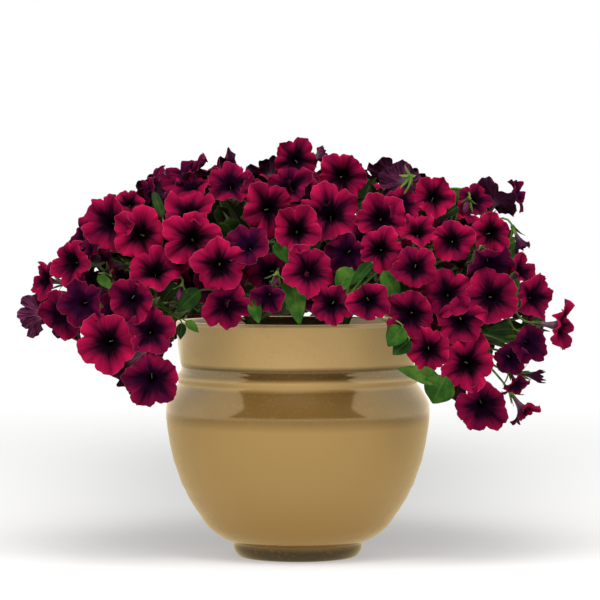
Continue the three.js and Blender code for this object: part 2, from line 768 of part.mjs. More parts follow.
for (const bloom of blooms) {
  const deep = bloomBase(bloom).addScaledVector(bloom.axis, -STALK_REACH);
  const plant = plants[plantOf(deep)];
  bloom.body = solid(bloomGeometry(bloom).applyMatrix4(standAlong(bloom.axis, bloom.place)));
  plant.wood.push({ item: bloom.item, body: stalkAndCalyx(bloom, plant.curves) });
}
plants.forEach((plant, number) => {
  const post = stub(number, STUB_RADIUS, HOLE_FLOOR + GAP, SOIL_TOP + 8);
  const stems = plant.curves.map((curve) => solid(tube(curve, STEM_RADIUS, STEM_SIDES, STEM_STEPS)));
  for (const body of [post, ...stems]) plant.wood.push({ body });
  plant.leaves.push(...shootLeaves(number, plant.curves));
});
for (const placed of BUDS) {
  const plant = plants[plantOf(photoPoint(placed[0], placed[1], placed[5] - STALK_REACH))];
  plant.wood.push({ body: bud(placed, plant.curves) });
}
for (const placed of FRONT_LEAVES) {
  const plant = plants[plantOf(photoPoint(placed[0], placed[1], placed[5] - STALK_REACH))];
  plant.leaves.push(frontLeaf(placed, plant.curves));
}

/** What is left of a solid beside its grown neighbours. */
function clearedOf(body, neighbours) {
  let rest = body;
  for (const neighbour of neighbours) {
    if (!boxesMeet(rest, neighbour, GAP)) continue;
    const thick = grown(neighbour, GAP);
    if (rest.intersect(thick).volume() > 0) rest = rest.subtract(thick);
  }
  return largest(rest);
}

const pot = bowl();
const soil = pottingSoil();

// Petals bend clear of shoots and stalks that aren't their own
const wood = plants.flatMap((plant) => plant.wood);
for (const bloom of blooms) {
  const others = wood.filter(({ item }) => item !== bloom.item).map(({ body }) => body);
  bloom.body = clearedOf(bloom.body, [...others, pot]);
}

/** Blooms that lie over each other share a bunch, up to a size; the deepest overlaps first. */
function bunches(limit) {
  const bunchOf = blooms.map((bloom) => [bloom.item]);
  for (const { a, b } of overlaps) {
    const [first, second] = [bunchOf[a], bunchOf[b]];
    if (first === second || first.length + second.length > limit) continue;
    first.push(...second);
    for (const item of second) bunchOf[item] = first;
  }
  return [...new Set(bunchOf)].map((items) => items.sort((p, q) => p - q));
}

const overlaps = [];
for (const a of blooms) {
  for (const b of blooms.slice(a.item + 1)) {
    if (!boxesMeet(a.body, b.body, GAP)) continue;
    const shared = a.body.intersect(b.body).volume();
    if (shared > 0) overlaps.push({ a: a.item, b: b.item, shared });
  }
}
overlaps.sort((p, q) => q.shared - p.shared);
let limit = 2;
while (bunches(limit).length > NODE_LIMIT && limit < 12) limit += 1;
const bunched = bunches(limit);

// Where two bunches still meet, the petal that loses less gives way
const bunchOf = new Map(bunched.flatMap((items, bunch) => items.map((item) => [item, bunch])));
for (const a of blooms) {
  for (const b of blooms.slice(a.item + 1)) {
    if (bunchOf.get(a.item) === bunchOf.get(b.item) || !boxesMeet(a.body, b.body, GAP)) continue;
    const [thickA, thickB] = [grown(a.body, GAP), grown(b.body, GAP)];
    if (thickA.intersect(b.body).volume() === 0 && a.body.intersect(thickB).volume() === 0) continue;
    const [restA, restB] = [largest(a.body.subtract(thickB)), largest(b.body.subtract(thickA))];
    const [lostA, lostB] = [a.body.volume() - restA.volume(), b.body.volume() - restB.volume()];
    if (lostA < lostB) a.body = restA;
    else b.body = restB;
  }
}
const bunchBodies = bunched.flatMap((items) => {
  const pieces = joined(items.map((item) => blooms[item].body)).decompose();
  const kept = pieces.filter((piece) => piece.volume() > SMALLEST_PIECE);
  return kept.map((body) => ({ items, body }));
});

plants.forEach((plant, number) => {
  const earlier = plants.slice(0, number).map(({ body }) => body);
  const otherWood = plants
    .filter((other) => other !== plant)
    .flatMap((other) => other.wood.map(({ body }) => body));
  const woody = joined(plant.wood.map(({ body }) => body));
  const petals = bunchBodies.map(({ body }) => body);
  const blades = plant.leaves.map((blade) =>
    clearedOf(blade, [...petals, ...otherWood, pot, soil]),
  );
  plant.body = clearedOf(joined([woody, ...blades]), [...earlier, pot]);
});

// ---------------------------------------------------------------- the scene
const group = new THREE.Group();
group.name = "petunia_bowl";
function addPiece(name, body, look) {
  const clean = largest(body.simplify(0.5 * SLIVER));
  const mesh = new THREE.Mesh(geometryOf(clean), new THREE.MeshStandardMaterial(look));
  mesh.name = name;
  group.add(mesh);
}
addPiece("pot", pot, LOOKS.pot);
addPiece("potting_soil", soil, LOOKS.soil);
plants.forEach(({ body }, number) => addPiece(`plant_${number + 1}`, body, LOOKS.green));
for (const { items, body } of bunchBodies) {
  addPiece(`blooms_${items.join("_")}`, body, LOOKS.petal);
}
export default group;
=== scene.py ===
import bpy
import math
import numpy as np
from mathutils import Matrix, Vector


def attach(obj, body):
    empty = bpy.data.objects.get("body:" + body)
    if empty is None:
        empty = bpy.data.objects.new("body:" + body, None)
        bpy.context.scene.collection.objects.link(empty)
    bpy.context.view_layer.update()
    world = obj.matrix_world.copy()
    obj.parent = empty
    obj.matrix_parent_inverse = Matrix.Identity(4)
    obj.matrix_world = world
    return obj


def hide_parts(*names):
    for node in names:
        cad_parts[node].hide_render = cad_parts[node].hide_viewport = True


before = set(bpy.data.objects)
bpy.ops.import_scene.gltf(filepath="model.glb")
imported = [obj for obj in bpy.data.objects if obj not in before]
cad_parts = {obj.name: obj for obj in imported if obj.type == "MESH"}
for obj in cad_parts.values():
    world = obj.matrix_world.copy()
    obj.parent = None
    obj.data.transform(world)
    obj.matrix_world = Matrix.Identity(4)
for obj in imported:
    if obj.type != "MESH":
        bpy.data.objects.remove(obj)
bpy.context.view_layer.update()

mm = 0.001  # every shape below is worked out in millimetres
tau = 2 * math.pi


# the measures from here to the blooms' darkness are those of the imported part
viewOfPhoto = {
    "frame": 600, "column": 297.8, "horizon": 208.9,  # pixels: the frame, the pot's axis, the eye's level
    "pixel": 1.135, "eye": 394, "distance": 3300,  # millimetres: a pixel at the axis, the camera's place
}
# the planting as a rounded box: half sizes, height of its middle, and how square it is
mound = {"halfWidth": 320, "halfDepth": 199, "halfHeight": 190, "middle": 275, "power": 2.2}
bloomBase = 1.1  # how far behind its mouth a bloom sits on its stalk, in bloom radii
rimHeight = 267.4
soilTop = 250

# blooms of the front: column, row and radius in pixels, degrees right and up, and for some the lift out of
# the mound in millimetres and how far open they are
frontBlooms = [
    (109, 223, 29, -30, 5), (131, 203, 17, 5, 45, -34), (139, 234, 28, -5, 5, 8),
    (154, 271, 28, 0, 42, 10), (72, 262, 25, -42, 6), (191, 239, 30, 0, 4, 6),
    (189, 211, 26, -12, 46, -6), (230, 184, 24, -4, 32, -4), (256, 193, 17, 24, 30, -34),
    (192, 187, 24, -26, 62, -30), (269, 209, 27, 12, 2), (295, 160, 23, -6, 6),
    (319, 157, 14, 118, 12, -36, 0.8), (343, 176, 25, 4, 2, 4), (331, 214, 30, 0, 20, 8),
    (297, 231, 26, 0, 4, 14), (219, 266, 28, 2, -4, 12), (248, 246, 23, -22, 32, 2),
    (309, 272, 26, 8, 14, 4), (226, 306, 26, 2, -20, -8), (369, 301, 22, 4, -8, -4),
    (332, 305, 22, -6, -6, -6), (268, 297, 18, -20, -30, -20), (347, 254, 22, -16, -12, -8),
    (382, 219, 27, 2, 4, 6), (402, 205, 19, 18, 24, -22), (381, 250, 24, -4, 2, 8),
    (418, 232, 21, 6, 46, -2), (433, 197, 21, 4, 14, -4), (452, 241, 22, -4, 4, 8),
    (491, 233, 21, 12, 4), (415, 268, 22, -4, -8, -6), (492, 297, 28, 2, 2, 12),
    (448, 295, 24, -4, 4, 4), (412, 315, 26, -6, -4, 4), (462, 321, 25, 0, -6, 6),
    (532, 297, 23, 34, 4, 2), (519, 271, 19, 46, 34, -14), (560, 326, 25, 68, -6, -12),
    (488, 264, 25, 18, -36, -14), (402, 184, 23, 196, -16, -22), (492, 200, 25, 152, 52, -24),
    (515, 196, 18, 76, 18, -40), (518, 242, 15, 56, -62, -30, 0.6), (473, 201, 18, 8, 22, -20),
    (108, 342, 30, -6, 0, 10), (150, 332, 25, 4, 6, 0), (152, 380, 29, 4, -14, -6),
    (132, 299, 24, -4, -8, -12), (84, 303, 24, -16, -4, -10), (62, 314, 24, -30, -16, -18),
    (38, 314, 23, -128, 4, -6), (46, 280, 20, -52, 10, -8), (430, 351, 23, 0, -6, 4),
    (469, 364, 29, 4, 0, 10), (482, 405, 28, 12, -24, 0), (527, 342, 20, 24, -10, -14),
    (509, 357, 18, 10, -10, -24), (515, 384, 15, 28, -50, -24), (525, 412, 21, 62, -52, -22, 0.8),
    (534, 376, 14, 84, -8, -16, 0.5),
]
# bunches of three blooms: a row on top, then rings round the back
topBunches = [(-138, 6, 396), (4, 12, 424), (146, 6, 400)]
# height, half width, half depth, count, degrees up
backRings = [(240, 206, 186, 3, -12), (304, 242, 190, 4, 4), (370, 196, 140, 3, 26)]
# degrees that the rings span, radius of a bloom, how the three lean apart and stand apart
backSpan, backRadius, bunchTilt, bunchSpread = 196, 36, 0.34, 0.98
# leaves of the front: base and tip in pixels, width and lift in millimetres
frontLeaves = [
    (446, 376, 432, 404, 36, 0), (440, 381, 400, 368, 20, -10), (403, 327, 388, 346, 24, -14),
    (410, 340, 393, 354, 20, -12), (513, 329, 488, 330, 17, 0), (290, 274, 300, 324, 25, -26),
    (351, 268, 337, 291, 22, -20), (372, 262, 351, 283, 13, -6), (252, 300, 259, 323, 15, -26),
    (186, 321, 198, 331, 10, -30), (182, 323, 180, 339, 11, -30), (163, 218, 151, 183, 11, -10),
    (383, 271, 400, 301, 20, -24), (275, 243, 288, 262, 15, -16), (455, 203, 457, 184, 9, -24),
    (458, 207, 440, 217, 12, -18), (430, 225, 413, 218, 13, -16), (176, 284, 160, 301, 18, -30),
    (200, 290, 176, 311, 21, -30), (98, 276, 113, 289, 12, -20),
]
# buds: tip in pixels, degrees right and up, length and lift in millimetres
budPlaces = [
    (165, 192, 10, 55, 24, -24), (464, 213, -20, -40, 26, -4), (178, 300, -12, -42, 24, -20),
    (274, 286, -14, -46, 20, -14), (106, 269, -10, 20, 16, -30),
]
# how dark some of the front's blooms are, from deep red at 0 to nearly black at 1: partly their age, partly
# painted shade where they lie in shade
agedAndShadedBlooms = {
    16: 0.15, 17: 0.75, 19: 0.4, 20: 0.3, 21: 0.35, 22: 0.7, 23: 0.85, 31: 0.3, 34: 0.35, 35: 0.4,
    36: 0.35, 37: 0.3, 39: 0.95, 40: 0.7, 41: 0.95, 42: 0.7, 43: 0.7, 45: 0.2, 47: 0.6, 48: 0.45,
    49: 0.85, 50: 0.5, 51: 0.3, 54: 0.1, 55: 0.5, 56: 0.95, 57: 0.9, 58: 0.7, 59: 0.25, 60: 0.95,
    0: 0.25, 8: 0.5, 9: 0.35, 25: 0.45, 44: 0.5, 12: 0.2,
}


def draw(item, purpose):
    # the same chance number from 0 to 1 each time, for one flower or leaf and one use of it
    wave = math.sin(item * 12.9898 + purpose * 78.233) * 43758.5453
    return wave - math.floor(wave)


def vec(x, y, z):
    return np.array([x, y, z], float)


def unit(v):
    return v / np.linalg.norm(v)


def fromPhoto(column, row, depth):
    # the place that a pixel shows, at this many millimetres before the pot's axis
    view = viewOfPhoto
    scale = view["pixel"] * (view["distance"] - depth) / view["distance"]
    across, down = (column - view["column"]) * scale, (row - view["horizon"]) * scale
    return vec(across, -depth, view["eye"] - down)


def moundLevel(height):
    # 0 at the middle of the mound's height, 1 at its top and bottom
    return abs((height - mound["middle"]) / mound["halfHeight"]) ** mound["power"]


def moundDepth(column, row):
    flat = fromPhoto(column, row, 0.5 * mound["halfDepth"])
    across = abs(flat[0] / mound["halfWidth"]) ** mound["power"]
    return mound["halfDepth"] * math.sqrt(max(0, 1 - across - moundLevel(flat[2])))


def photoPoint(column, row, lift):
    # the place that a pixel shows on the mound's skin, or so far out of it
    return fromPhoto(column, row, moundDepth(column, row) + lift)


def facing(right, up):
    r, u = math.radians(right), math.radians(up)
    return vec(math.sin(r) * math.cos(u), -math.cos(r) * math.cos(u), math.sin(u))


def standAlong(axis):
    # columns: side, up and the axis itself
    side = np.cross((0, 0, 1), axis)
    side = unit(side) if np.linalg.norm(side) >= 0.05 else vec(1, 0, 0)
    return np.column_stack([side, np.cross(axis, side), axis])


def petalDepth(bloom, x, z):
    place, axis = bloom["place"], bloom["axis"]
    rise = 0.08 * bloom["radius"] - axis[0] * (x - place[0]) - axis[2] * (z - place[2])
    return -(place[1] + rise / min(-0.35, axis[1]))


def nestle(bloom, settled):
    # moves a bloom in or out, by 26 mm at most, until its petals meet those of the nearest one
    def gap(other):
        across = other["place"] - bloom["place"]
        return math.hypot(across[0], across[2]) / (other["radius"] + bloom["radius"])

    nearest = min(settled, key=gap)
    if gap(nearest) > 0.95:
        return
    x, _, z = (bloom["place"] + nearest["place"]) / 2
    apart = petalDepth(nearest, x, z) - petalDepth(bloom, x, z)
    bloom["place"][1] -= max(-26, min(26, apart))


def addBunch(blooms, middle, outward, item):
    # three blooms side by side that lean apart
    turn = standAlong(outward)
    for i in range(3):
        angle = math.radians(120 * i + 120 * draw(item, 1))
        offset = vec(math.cos(angle), math.sin(angle), 0)
        blooms.append({
            "place": middle + turn @ (offset * bunchSpread * backRadius),
            "axis": unit(turn @ (offset * bunchTilt + vec(0, 0, 1))),
            "radius": backRadius * (0.94 + 0.12 * draw(item + i, 2)),
            "open": 1,
        })


def listBlooms():
    blooms = []
    for column, row, size, right, up, *rest in frontBlooms:
        lift, isOpen = (rest + [0, 1][len(rest):])[:2]
        place = photoPoint(column, row, lift)
        distance = viewOfPhoto["distance"]
        radius = size * viewOfPhoto["pixel"] * (distance + place[1]) / distance
        bloom = {"place": place, "axis": facing(right, up), "radius": radius, "open": isOpen}
        if blooms:
            nestle(bloom, blooms)
        blooms.append(bloom)
    for i, (x, y, z) in enumerate(topBunches):
        addBunch(blooms, vec(x, y, z), unit(vec(0.0022 * x, 0.1, 1)), 200 + 10 * i)
    for ring, (height, halfWidth, halfDepth, count, up) in enumerate(backRings):
        for i in range(count):
            item = 300 + 100 * ring + 10 * i
            turn = ((i + 0.5) / count - 0.5) * backSpan + 12 * (draw(item, 3) - 0.5)
            angle = math.radians(turn)
            level = height + 24 * (draw(item, 4) - 0.5)
            middle = vec(halfWidth * math.sin(angle), halfDepth * math.cos(angle), level)
            addBunch(blooms, middle, facing(180 - 0.85 * turn, up), item)
    for item, bloom in enumerate(blooms):
        bloom["item"] = item
        bloom["roll"] = 72 * draw(item, 6)
    return blooms


hiddenLook = {
    "count": 84, "tries": 2600, "firstItem": 1200,
    "radius": 29, "apart": 27, "tilt": 0.9,
    # heights that they grow between, and how far out of the mound's middle, as shares of its size
    "lowest": 246, "highest": 436, "inmost": 0.58, "outmost": 0.85,
    "bareRadius": 182, "bareHeight": 34,  # none grows inside this radius less than so high over the rim
}


def listHidden(blooms):
    # older flowers further in, painted dark so that they show as painted shade between those of the outside
    look = hiddenLook
    hidden = []
    for n in range(look["tries"]):
        item = look["firstItem"] + n
        turn = tau * draw(item, 11)
        level = look["lowest"] + (look["highest"] - look["lowest"]) * draw(item, 12)
        spread = max(0.1, 1 - moundLevel(level)) ** (1 / mound["power"])
        share = look["inmost"] + (look["outmost"] - look["inmost"]) * draw(item, 13)
        place = vec(mound["halfWidth"] * spread * share * math.cos(turn),
                    mound["halfDepth"] * spread * share * math.sin(turn), level)
        others = [np.linalg.norm(place - other["place"]) for other in blooms + hidden]
        overRim = (place[2] < rimHeight + look["bareHeight"]
                   and math.hypot(place[0], place[1]) < look["bareRadius"])
        if min(others) < look["apart"] or overRim:
            continue
        outward = vec(place[0] / mound["halfWidth"], place[1] / mound["halfDepth"], (level - 270) / 300)
        tilt = vec(draw(item, 14) - 0.5, draw(item, 15) - 0.5, draw(item, 16) - 0.5)
        hidden.append({
            "place": place,
            "axis": unit(unit(outward) + look["tilt"] * tilt),
            "radius": look["radius"] * (0.8 + 0.3 * draw(item, 17)),
            "roll": 72 * draw(item, 6),
            "open": 1,
            "item": item,
        })
    return hidden[:look["count"]]


def bezier(points, count):
    step = np.linspace(0, 1, count)[:, None]
    curve = [np.asarray(point, float) for point in points]
    while len(curve) > 1:
        curve = [(1 - step) * a + step * b for a, b in zip(curve, curve[1:])]
    return curve[0]


def evenly(path, count):
    # the same curve with its points spread evenly along it
    steps = np.linalg.norm(np.diff(path, axis=0), axis=1)
    along = np.concatenate([[0], np.cumsum(steps)])
    wanted = np.linspace(0, along[-1], count)
    return np.column_stack([np.interp(wanted, along, path[:, i]) for i in range(3)])


shootPlan = {
    "crownRadius": 62, "halfWidth": 296, "halfDepth": 203, "points": 36,
    # degrees beside the crown, height of the end, its inset from the mound's skin, how high the shoot
    # rises first, how far out it arches, as a share, and how high over its end
    "routes": [(3, 408, 66, 70, 0.5, -34), (-12, 352, 58, 64, 0.6, -6),
               (13, 300, 50, 62, 0.7, 12), (-6, 240, 44, 72, 0.9, 16)],
    "frontPlant": 4, "frontLowest": 296,  # no shoot hangs before the bare front of the bowl
}


def shootEnd(angle, height, inset):
    spread = max(0.2, 1 - moundLevel(height)) ** (1 / mound["power"])
    along, deep = shootPlan["halfWidth"] * spread - inset, shootPlan["halfDepth"] * spread - inset
    return vec(along * math.cos(angle), deep * math.sin(angle), height)


def crownPoint(plant, height):
    angle = math.radians(30 + 60 * plant)
    return vec(shootPlan["crownRadius"] * math.cos(angle), shootPlan["crownRadius"] * math.sin(angle), height)


def shootsOf(plant):
    start = crownPoint(plant, soilTop + 4)
    curves = []
    for turn, height, inset, rise, out, arch in shootPlan["routes"]:
        level = max(height, shootPlan["frontLowest"]) if plant == shootPlan["frontPlant"] else height
        end = shootEnd(math.radians(30 + 60 * plant + turn), level, inset)
        lifted = start + vec(0, 0, rise)
        above = start + (end - start) * out
        above[2] = max(end[2], lifted[2]) + arch
        curves.append(evenly(bezier([start, lifted, above, end], 60), shootPlan["points"]))
    return curves


def plantOf(point):
    # which of the six plants has this side of the mound
    angle = math.degrees(math.atan2(point[1] / mound["halfDepth"], point[0] / mound["halfWidth"]))
    return int((angle % 360) // 60)


def nearestOnShoots(curves, point):
    # the point and the way of the nearest shoot there, past the bare lower fifth of each
    best = None
    for curve in curves:
        far = curve[7:]
        i = int(np.argmin(np.linalg.norm(far - point, axis=1)))
        distance = np.linalg.norm(far[i] - point)
        if best is None or distance < best[0]:
            onward = far[min(i + 1, len(far) - 1)] - far[max(i - 1, 0)]
            best = (distance, far[i], unit(onward))
    return best[1], best[2]


class Batch:
    # collects sheets of points, with their faces and attributes, that become one piece
    def __init__(self):
        self.points, self.faces, self.slots, self.maps, self.tones = [], [], [], [], []
        self.count = 0

    def add(self, points, faces, slot, surfaceMap, tone):
        self.points.append(points)
        self.faces.extend([[i + self.count for i in face] for face in faces])
        self.slots.extend(slot if isinstance(slot, list) else [slot] * len(faces))
        self.maps.append(surfaceMap)
        self.tones.append(np.broadcast_to(np.asarray(tone, float), (len(points), 3)))
        self.count += len(points)


def makePiece(name, batch, materials, slot):
    mesh = bpy.data.meshes.new(name)
    mesh.from_pydata((np.concatenate(batch.points) * mm).tolist(), [], batch.faces)
    for material in materials:
        mesh.materials.append(material)
    mesh.polygons.foreach_set("material_index", batch.slots)
    mesh.polygons.foreach_set("use_smooth", [True] * len(mesh.polygons))
    for title, values in (("surfaceMap", batch.maps), ("tone", batch.tones)):
        layer = mesh.attributes.new(title, "FLOAT_VECTOR", "POINT")
        layer.data.foreach_set("vector", np.concatenate(values).astype(np.float32).ravel())
    mesh.update()
    piece = bpy.data.objects.new(name, mesh)
    bpy.context.scene.collection.objects.link(piece)
    piece.visible_glossy = slot != "foliage" and slot != "petals"  # the glaze reflects only the room
    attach(piece, "root")
    return piece


def ringFaces(rings, around, outward=True):
    # faces of rings of points that follow each other, closed at both ends by a fan to one point each
    faces = []
    for k in range(rings - 1):
        for j in range(around):
            a, b = k * around + j, k * around + (j + 1) % around
            quad = [a, b, b + around, a + around]
            faces.append(quad if outward else quad[::-1])
    first, last = rings * around, rings * around + 1
    for j in range(around):
        a, b = j, (j + 1) % around
        c, d = (rings - 1) * around + j, (rings - 1) * around + (j + 1) % around
        faces.append([first, b, a] if outward else [first, a, b])
        faces.append([last, c, d] if outward else [last, d, c])
    return faces


def framesAlong(path):
    # side and up vectors, each turned as little as may be from the ones before
    onward = np.gradient(path, axis=0)
    onward /= np.linalg.norm(onward, axis=1)[:, None]
    side = unit(np.cross(onward[0], vec(onward[0][2], onward[0][0], -onward[0][1])))
    sides = []
    for axis in onward:
        side = unit(side - axis * np.dot(side, axis))
        sides.append(side)
    sides = np.array(sides)
    return sides, np.cross(onward, sides)


def addTube(batch, path, radii, around, slot, tone):
    # a round stalk, bud or crumb along a path
    sides, ups = framesAlong(path)
    radii = np.broadcast_to(np.asarray(radii, float), (len(path),))
    angle = np.arange(around) * tau / around
    rings = (path[:, None] + radii[:, None, None] * (
        np.cos(angle)[None, :, None] * sides[:, None] + np.sin(angle)[None, :, None] * ups[:, None]))
    points = np.concatenate([rings.reshape(-1, 3), path[:1], path[-1:]])
    along = np.repeat(np.linspace(0, 1, len(path)), around)
    turn = np.tile(angle, len(path))
    surfaceMap = np.column_stack([np.cos(turn), np.sin(turn), along])
    surfaceMap = np.concatenate([surfaceMap, [[0, 0, 0]], [[0, 0, 1]]])
    batch.add(points, ringFaces(len(path), around), slot, surfaceMap, tone)


def addBlade(batch, path, normal, widths, thickness, folds, slot, tone, across, wave=0):
    # a leaf or sepal: a path from base to tip, half widths along it, raised sides and waved edges
    onward = np.gradient(path, axis=0)
    onward /= np.linalg.norm(onward, axis=1)[:, None]
    side = np.cross(onward, normal)
    side /= np.linalg.norm(side, axis=1)[:, None]
    up = np.cross(side, onward)
    u = np.linspace(-1, 1, 2 * across + 1)
    loop = np.concatenate([u, u[::-1]])
    half = np.concatenate([np.ones(len(u)), -np.ones(len(u))])
    steps = np.linspace(0, 1, len(path))
    shape = folds * np.abs(loop)[None] ** 1.4 * widths[:, None]
    shape = shape + wave * loop[None] ** 4 * np.sin(17 * steps[:, None] + 2.2 * np.sign(loop)[None])
    skin = 0.5 * thickness * half * (1 - 0.7 * loop ** 2)
    rings = (path[:, None] + side[:, None] * (loop[None] * widths[:, None])[..., None]
             + up[:, None] * (shape + skin[None])[..., None])
    around = len(loop)
    points = np.concatenate([rings.reshape(-1, 3), path[:1], path[-1:]])
    surfaceMap = np.column_stack([
        np.tile(loop, len(path)), np.repeat(steps, around), np.tile(half, len(path))])
    surfaceMap = np.concatenate([surfaceMap, [[0, 0, 1]], [[0, 1, 1]]])
    batch.add(points, ringFaces(len(path), around), slot, surfaceMap, tone)


def colour(hexText):
    # sRGB hex to the linear values that the shader wants
    values = [int(hexText[i:i + 2], 16) / 255 for i in (1, 3, 5)]
    return tuple(c / 12.92 if c <= 0.04045 else ((c + 0.055) / 1.055) ** 2.4 for c in values) + (1,)


def newMaterial(name):
    material = bpy.data.materials.new(name)
    material.use_nodes = True
    material.node_tree.nodes.clear()
    return material, material.node_tree


def node(tree, kind, inputs=(), wanted=None, stops=(), **settings):
    # adds a shader node with its settings, links or fills its inputs, and gives back the output wanted
    made = tree.nodes.new("ShaderNode" + kind)
    for name, value in settings.items():
        setattr(made, name, value)
    sockets = [socket for socket in made.inputs if socket.enabled]
    if isinstance(inputs, dict):
        sockets = [made.inputs[name] for name in inputs]
        inputs = inputs.values()
    for socket, value in zip(sockets, inputs):
        if isinstance(value, bpy.types.NodeSocket):
            tree.links.new(value, socket)
        else:
            socket.default_value = value
    if stops:
        steps = made.color_ramp.elements
        for _ in stops[2:]:
            steps.new(0.5)
        for step, (position, tint) in zip(steps, stops):
            step.position = position
            step.color = colour(tint)
    results = [socket for socket in made.outputs if socket.enabled and wanted in (None, "each", socket.name)]
    return results if wanted == "each" else next(iter(results), None)


def every(size):
    # the scale of a noise whose cells are this many millimetres wide on the object
    return 1 / (size * mm)


petalLook = {
    "lit": "#B21345", "body": "#6E0B2E", "maroon": "#40091E", "deep": "#1A050C", "throat": "#070303",
    "purple": "#2E0C34", "black": "#17040C", "paintedEdgeHighlight": "#D890A8",
    "back": "#7E3A5C", "backVein": "#34102A", "tube": "#A98796", "tubeVein": "#4A2C40", "agedAndShadedBack": "#1E0C1C",
    # the noise goes round a cylinder of this size: 75 streaks, 2.7 mm apart at the rim of a flower
    "cylinder": 7, "streakScale": 1.7, "faceDrawnOut": 0.7, "backDrawnOut": 0.9,
    # how far in the dark star ends, and how that changes with streaks, patches, lobes, and a flower's age
    # together with its painted shade
    "star": 0.525, "frayed": 0.6, "patchy": 0.45, "lobed": -0.13, "agedAndShaded": -0.2,
    "roughness": 0.7, "ior": 1.33,
}


def petalPattern(tree, drawnOut):
    # place on the bloom, its chance shift, and noise drawn out from the throat to the rim into streaks
    look = petalLook
    place = node(tree, "Attribute", wanted="Vector", attribute_name="surfaceMap")
    tone = node(tree, "Attribute", wanted="Vector", attribute_name="tone")
    dark, chance, midrib = node(tree, "SeparateXYZ", [tone], "each")
    shift = node(tree, "CombineXYZ", {"Z": node(tree, "Math", [chance, 31], operation="MULTIPLY")})
    stretch = (look["cylinder"], look["cylinder"], drawnOut)
    where = node(tree, "VectorMath", [place, stretch, shift], operation="MULTIPLY_ADD")
    streak = node(tree, "TexNoise", {
        "Vector": where, "Scale": look["streakScale"], "Detail": 4, "Roughness": 0.62})
    return place, shift, streak, dark, midrib


def petalFace():
    # petunia petal, upper face: a velvet of fine cells, so dull and deep in colour with no highlight; it
    # darkens to a nearly black throat in fine streaks
    look = petalLook
    material, tree = newMaterial("petunia petal face")
    place, shift, streak, dark, midrib = petalPattern(tree, look["faceDrawnOut"])
    outward = node(tree, "SeparateXYZ", [place], "Z")
    patchAt = node(tree, "VectorMath", [place, shift], operation="ADD")
    patch = node(tree, "TexNoise", {"Vector": patchAt, "Scale": 1.7, "Detail": 2, "Roughness": 0.5})
    reach = node(tree, "Math", [outward, look["star"]], operation="SUBTRACT")
    for cause, amount in ((streak, "frayed"), (patch, "patchy"), (midrib, "lobed"), (dark, "agedAndShaded")):
        reach = node(tree, "Math", [cause, look[amount], reach], operation="MULTIPLY_ADD")
    base = node(tree, "ValToRGB", [reach], stops=[
        (0.03, look["throat"]), (0.13, look["deep"]), (0.25, look["maroon"]), (0.42, look["body"]),
        (0.95, look["lit"])])
    # painted shade and age: darker flowers, old ones and those in shade, are mixed towards black and purple
    agedAndShadedTint = node(tree, "Mix", [patch, colour(look["black"]), colour(look["purple"])], data_type="RGBA")
    agedAndShadedShare = node(tree, "Math", [dark, 0.78], operation="MULTIPLY")
    base = node(tree, "Mix", [agedAndShadedShare, base, agedAndShadedTint], data_type="RGBA")
    # the very edge is paler: a painted highlight along the rim
    edge = node(tree, "MapRange", [outward, 0.975, 1.0083, 0, 0.35])
    base = node(tree, "Mix", [edge, base, colour(look["paintedEdgeHighlight"])], data_type="RGBA")
    bump = node(tree, "Bump", {"Height": streak, "Strength": 0.45, "Distance": 1.4 * mm})
    shader = node(tree, "BsdfPrincipled", {
        "Base Color": base, "Roughness": look["roughness"], "IOR": look["ior"], "Specular IOR Level": 0,
        "Normal": bump})
    node(tree, "OutputMaterial", [shader])
    return material


def petalBack(name="petunia petal back"):
    # the under face and the tube: thin tissue, paler and dull, with a net of dark veins
    look = petalLook
    material, tree = newMaterial(name)
    place, _, streak, dark, _ = petalPattern(tree, look["backDrawnOut"])
    outward = node(tree, "SeparateXYZ", [place], "Z")
    between = node(tree, "MapRange", [streak, 0.4, 0.622])
    limb = node(tree, "Mix", [between, colour(look["backVein"]), colour(look["back"])], data_type="RGBA")
    tube = node(tree, "Mix", [between, colour(look["tubeVein"]), colour(look["tube"])], data_type="RGBA")
    onLimb = node(tree, "MapRange", [outward, -0.3, 0.1545])
    base = node(tree, "Mix", [onLimb, tube, limb], data_type="RGBA")
    # painted shade and age: darker flowers, old ones and those in shade, are mixed towards a dark back
    agedAndShadedShare = node(tree, "Math", [dark, 0.75], operation="MULTIPLY")
    base = node(tree, "Mix", [agedAndShadedShare, base, colour(look["agedAndShadedBack"])], data_type="RGBA")
    bump = node(tree, "Bump", {"Height": streak, "Strength": 0.5, "Distance": 1 * mm})
    shader = node(tree, "BsdfPrincipled", {
        "Base Color": base, "Roughness": look["roughness"], "IOR": look["ior"], "Specular IOR Level": 0,
        "Normal": bump})
    node(tree, "OutputMaterial", [shader])
    return material


stigmaLook = {"low": "#2E3A28", "high": "#56664A", "roughness": 0.4, "grain": 3.333, "relief": 0.2}
stemLook = {"low": "#36521F", "high": "#6C8840", "roughness": 0.55, "grain": 11.11, "relief": 0.6}


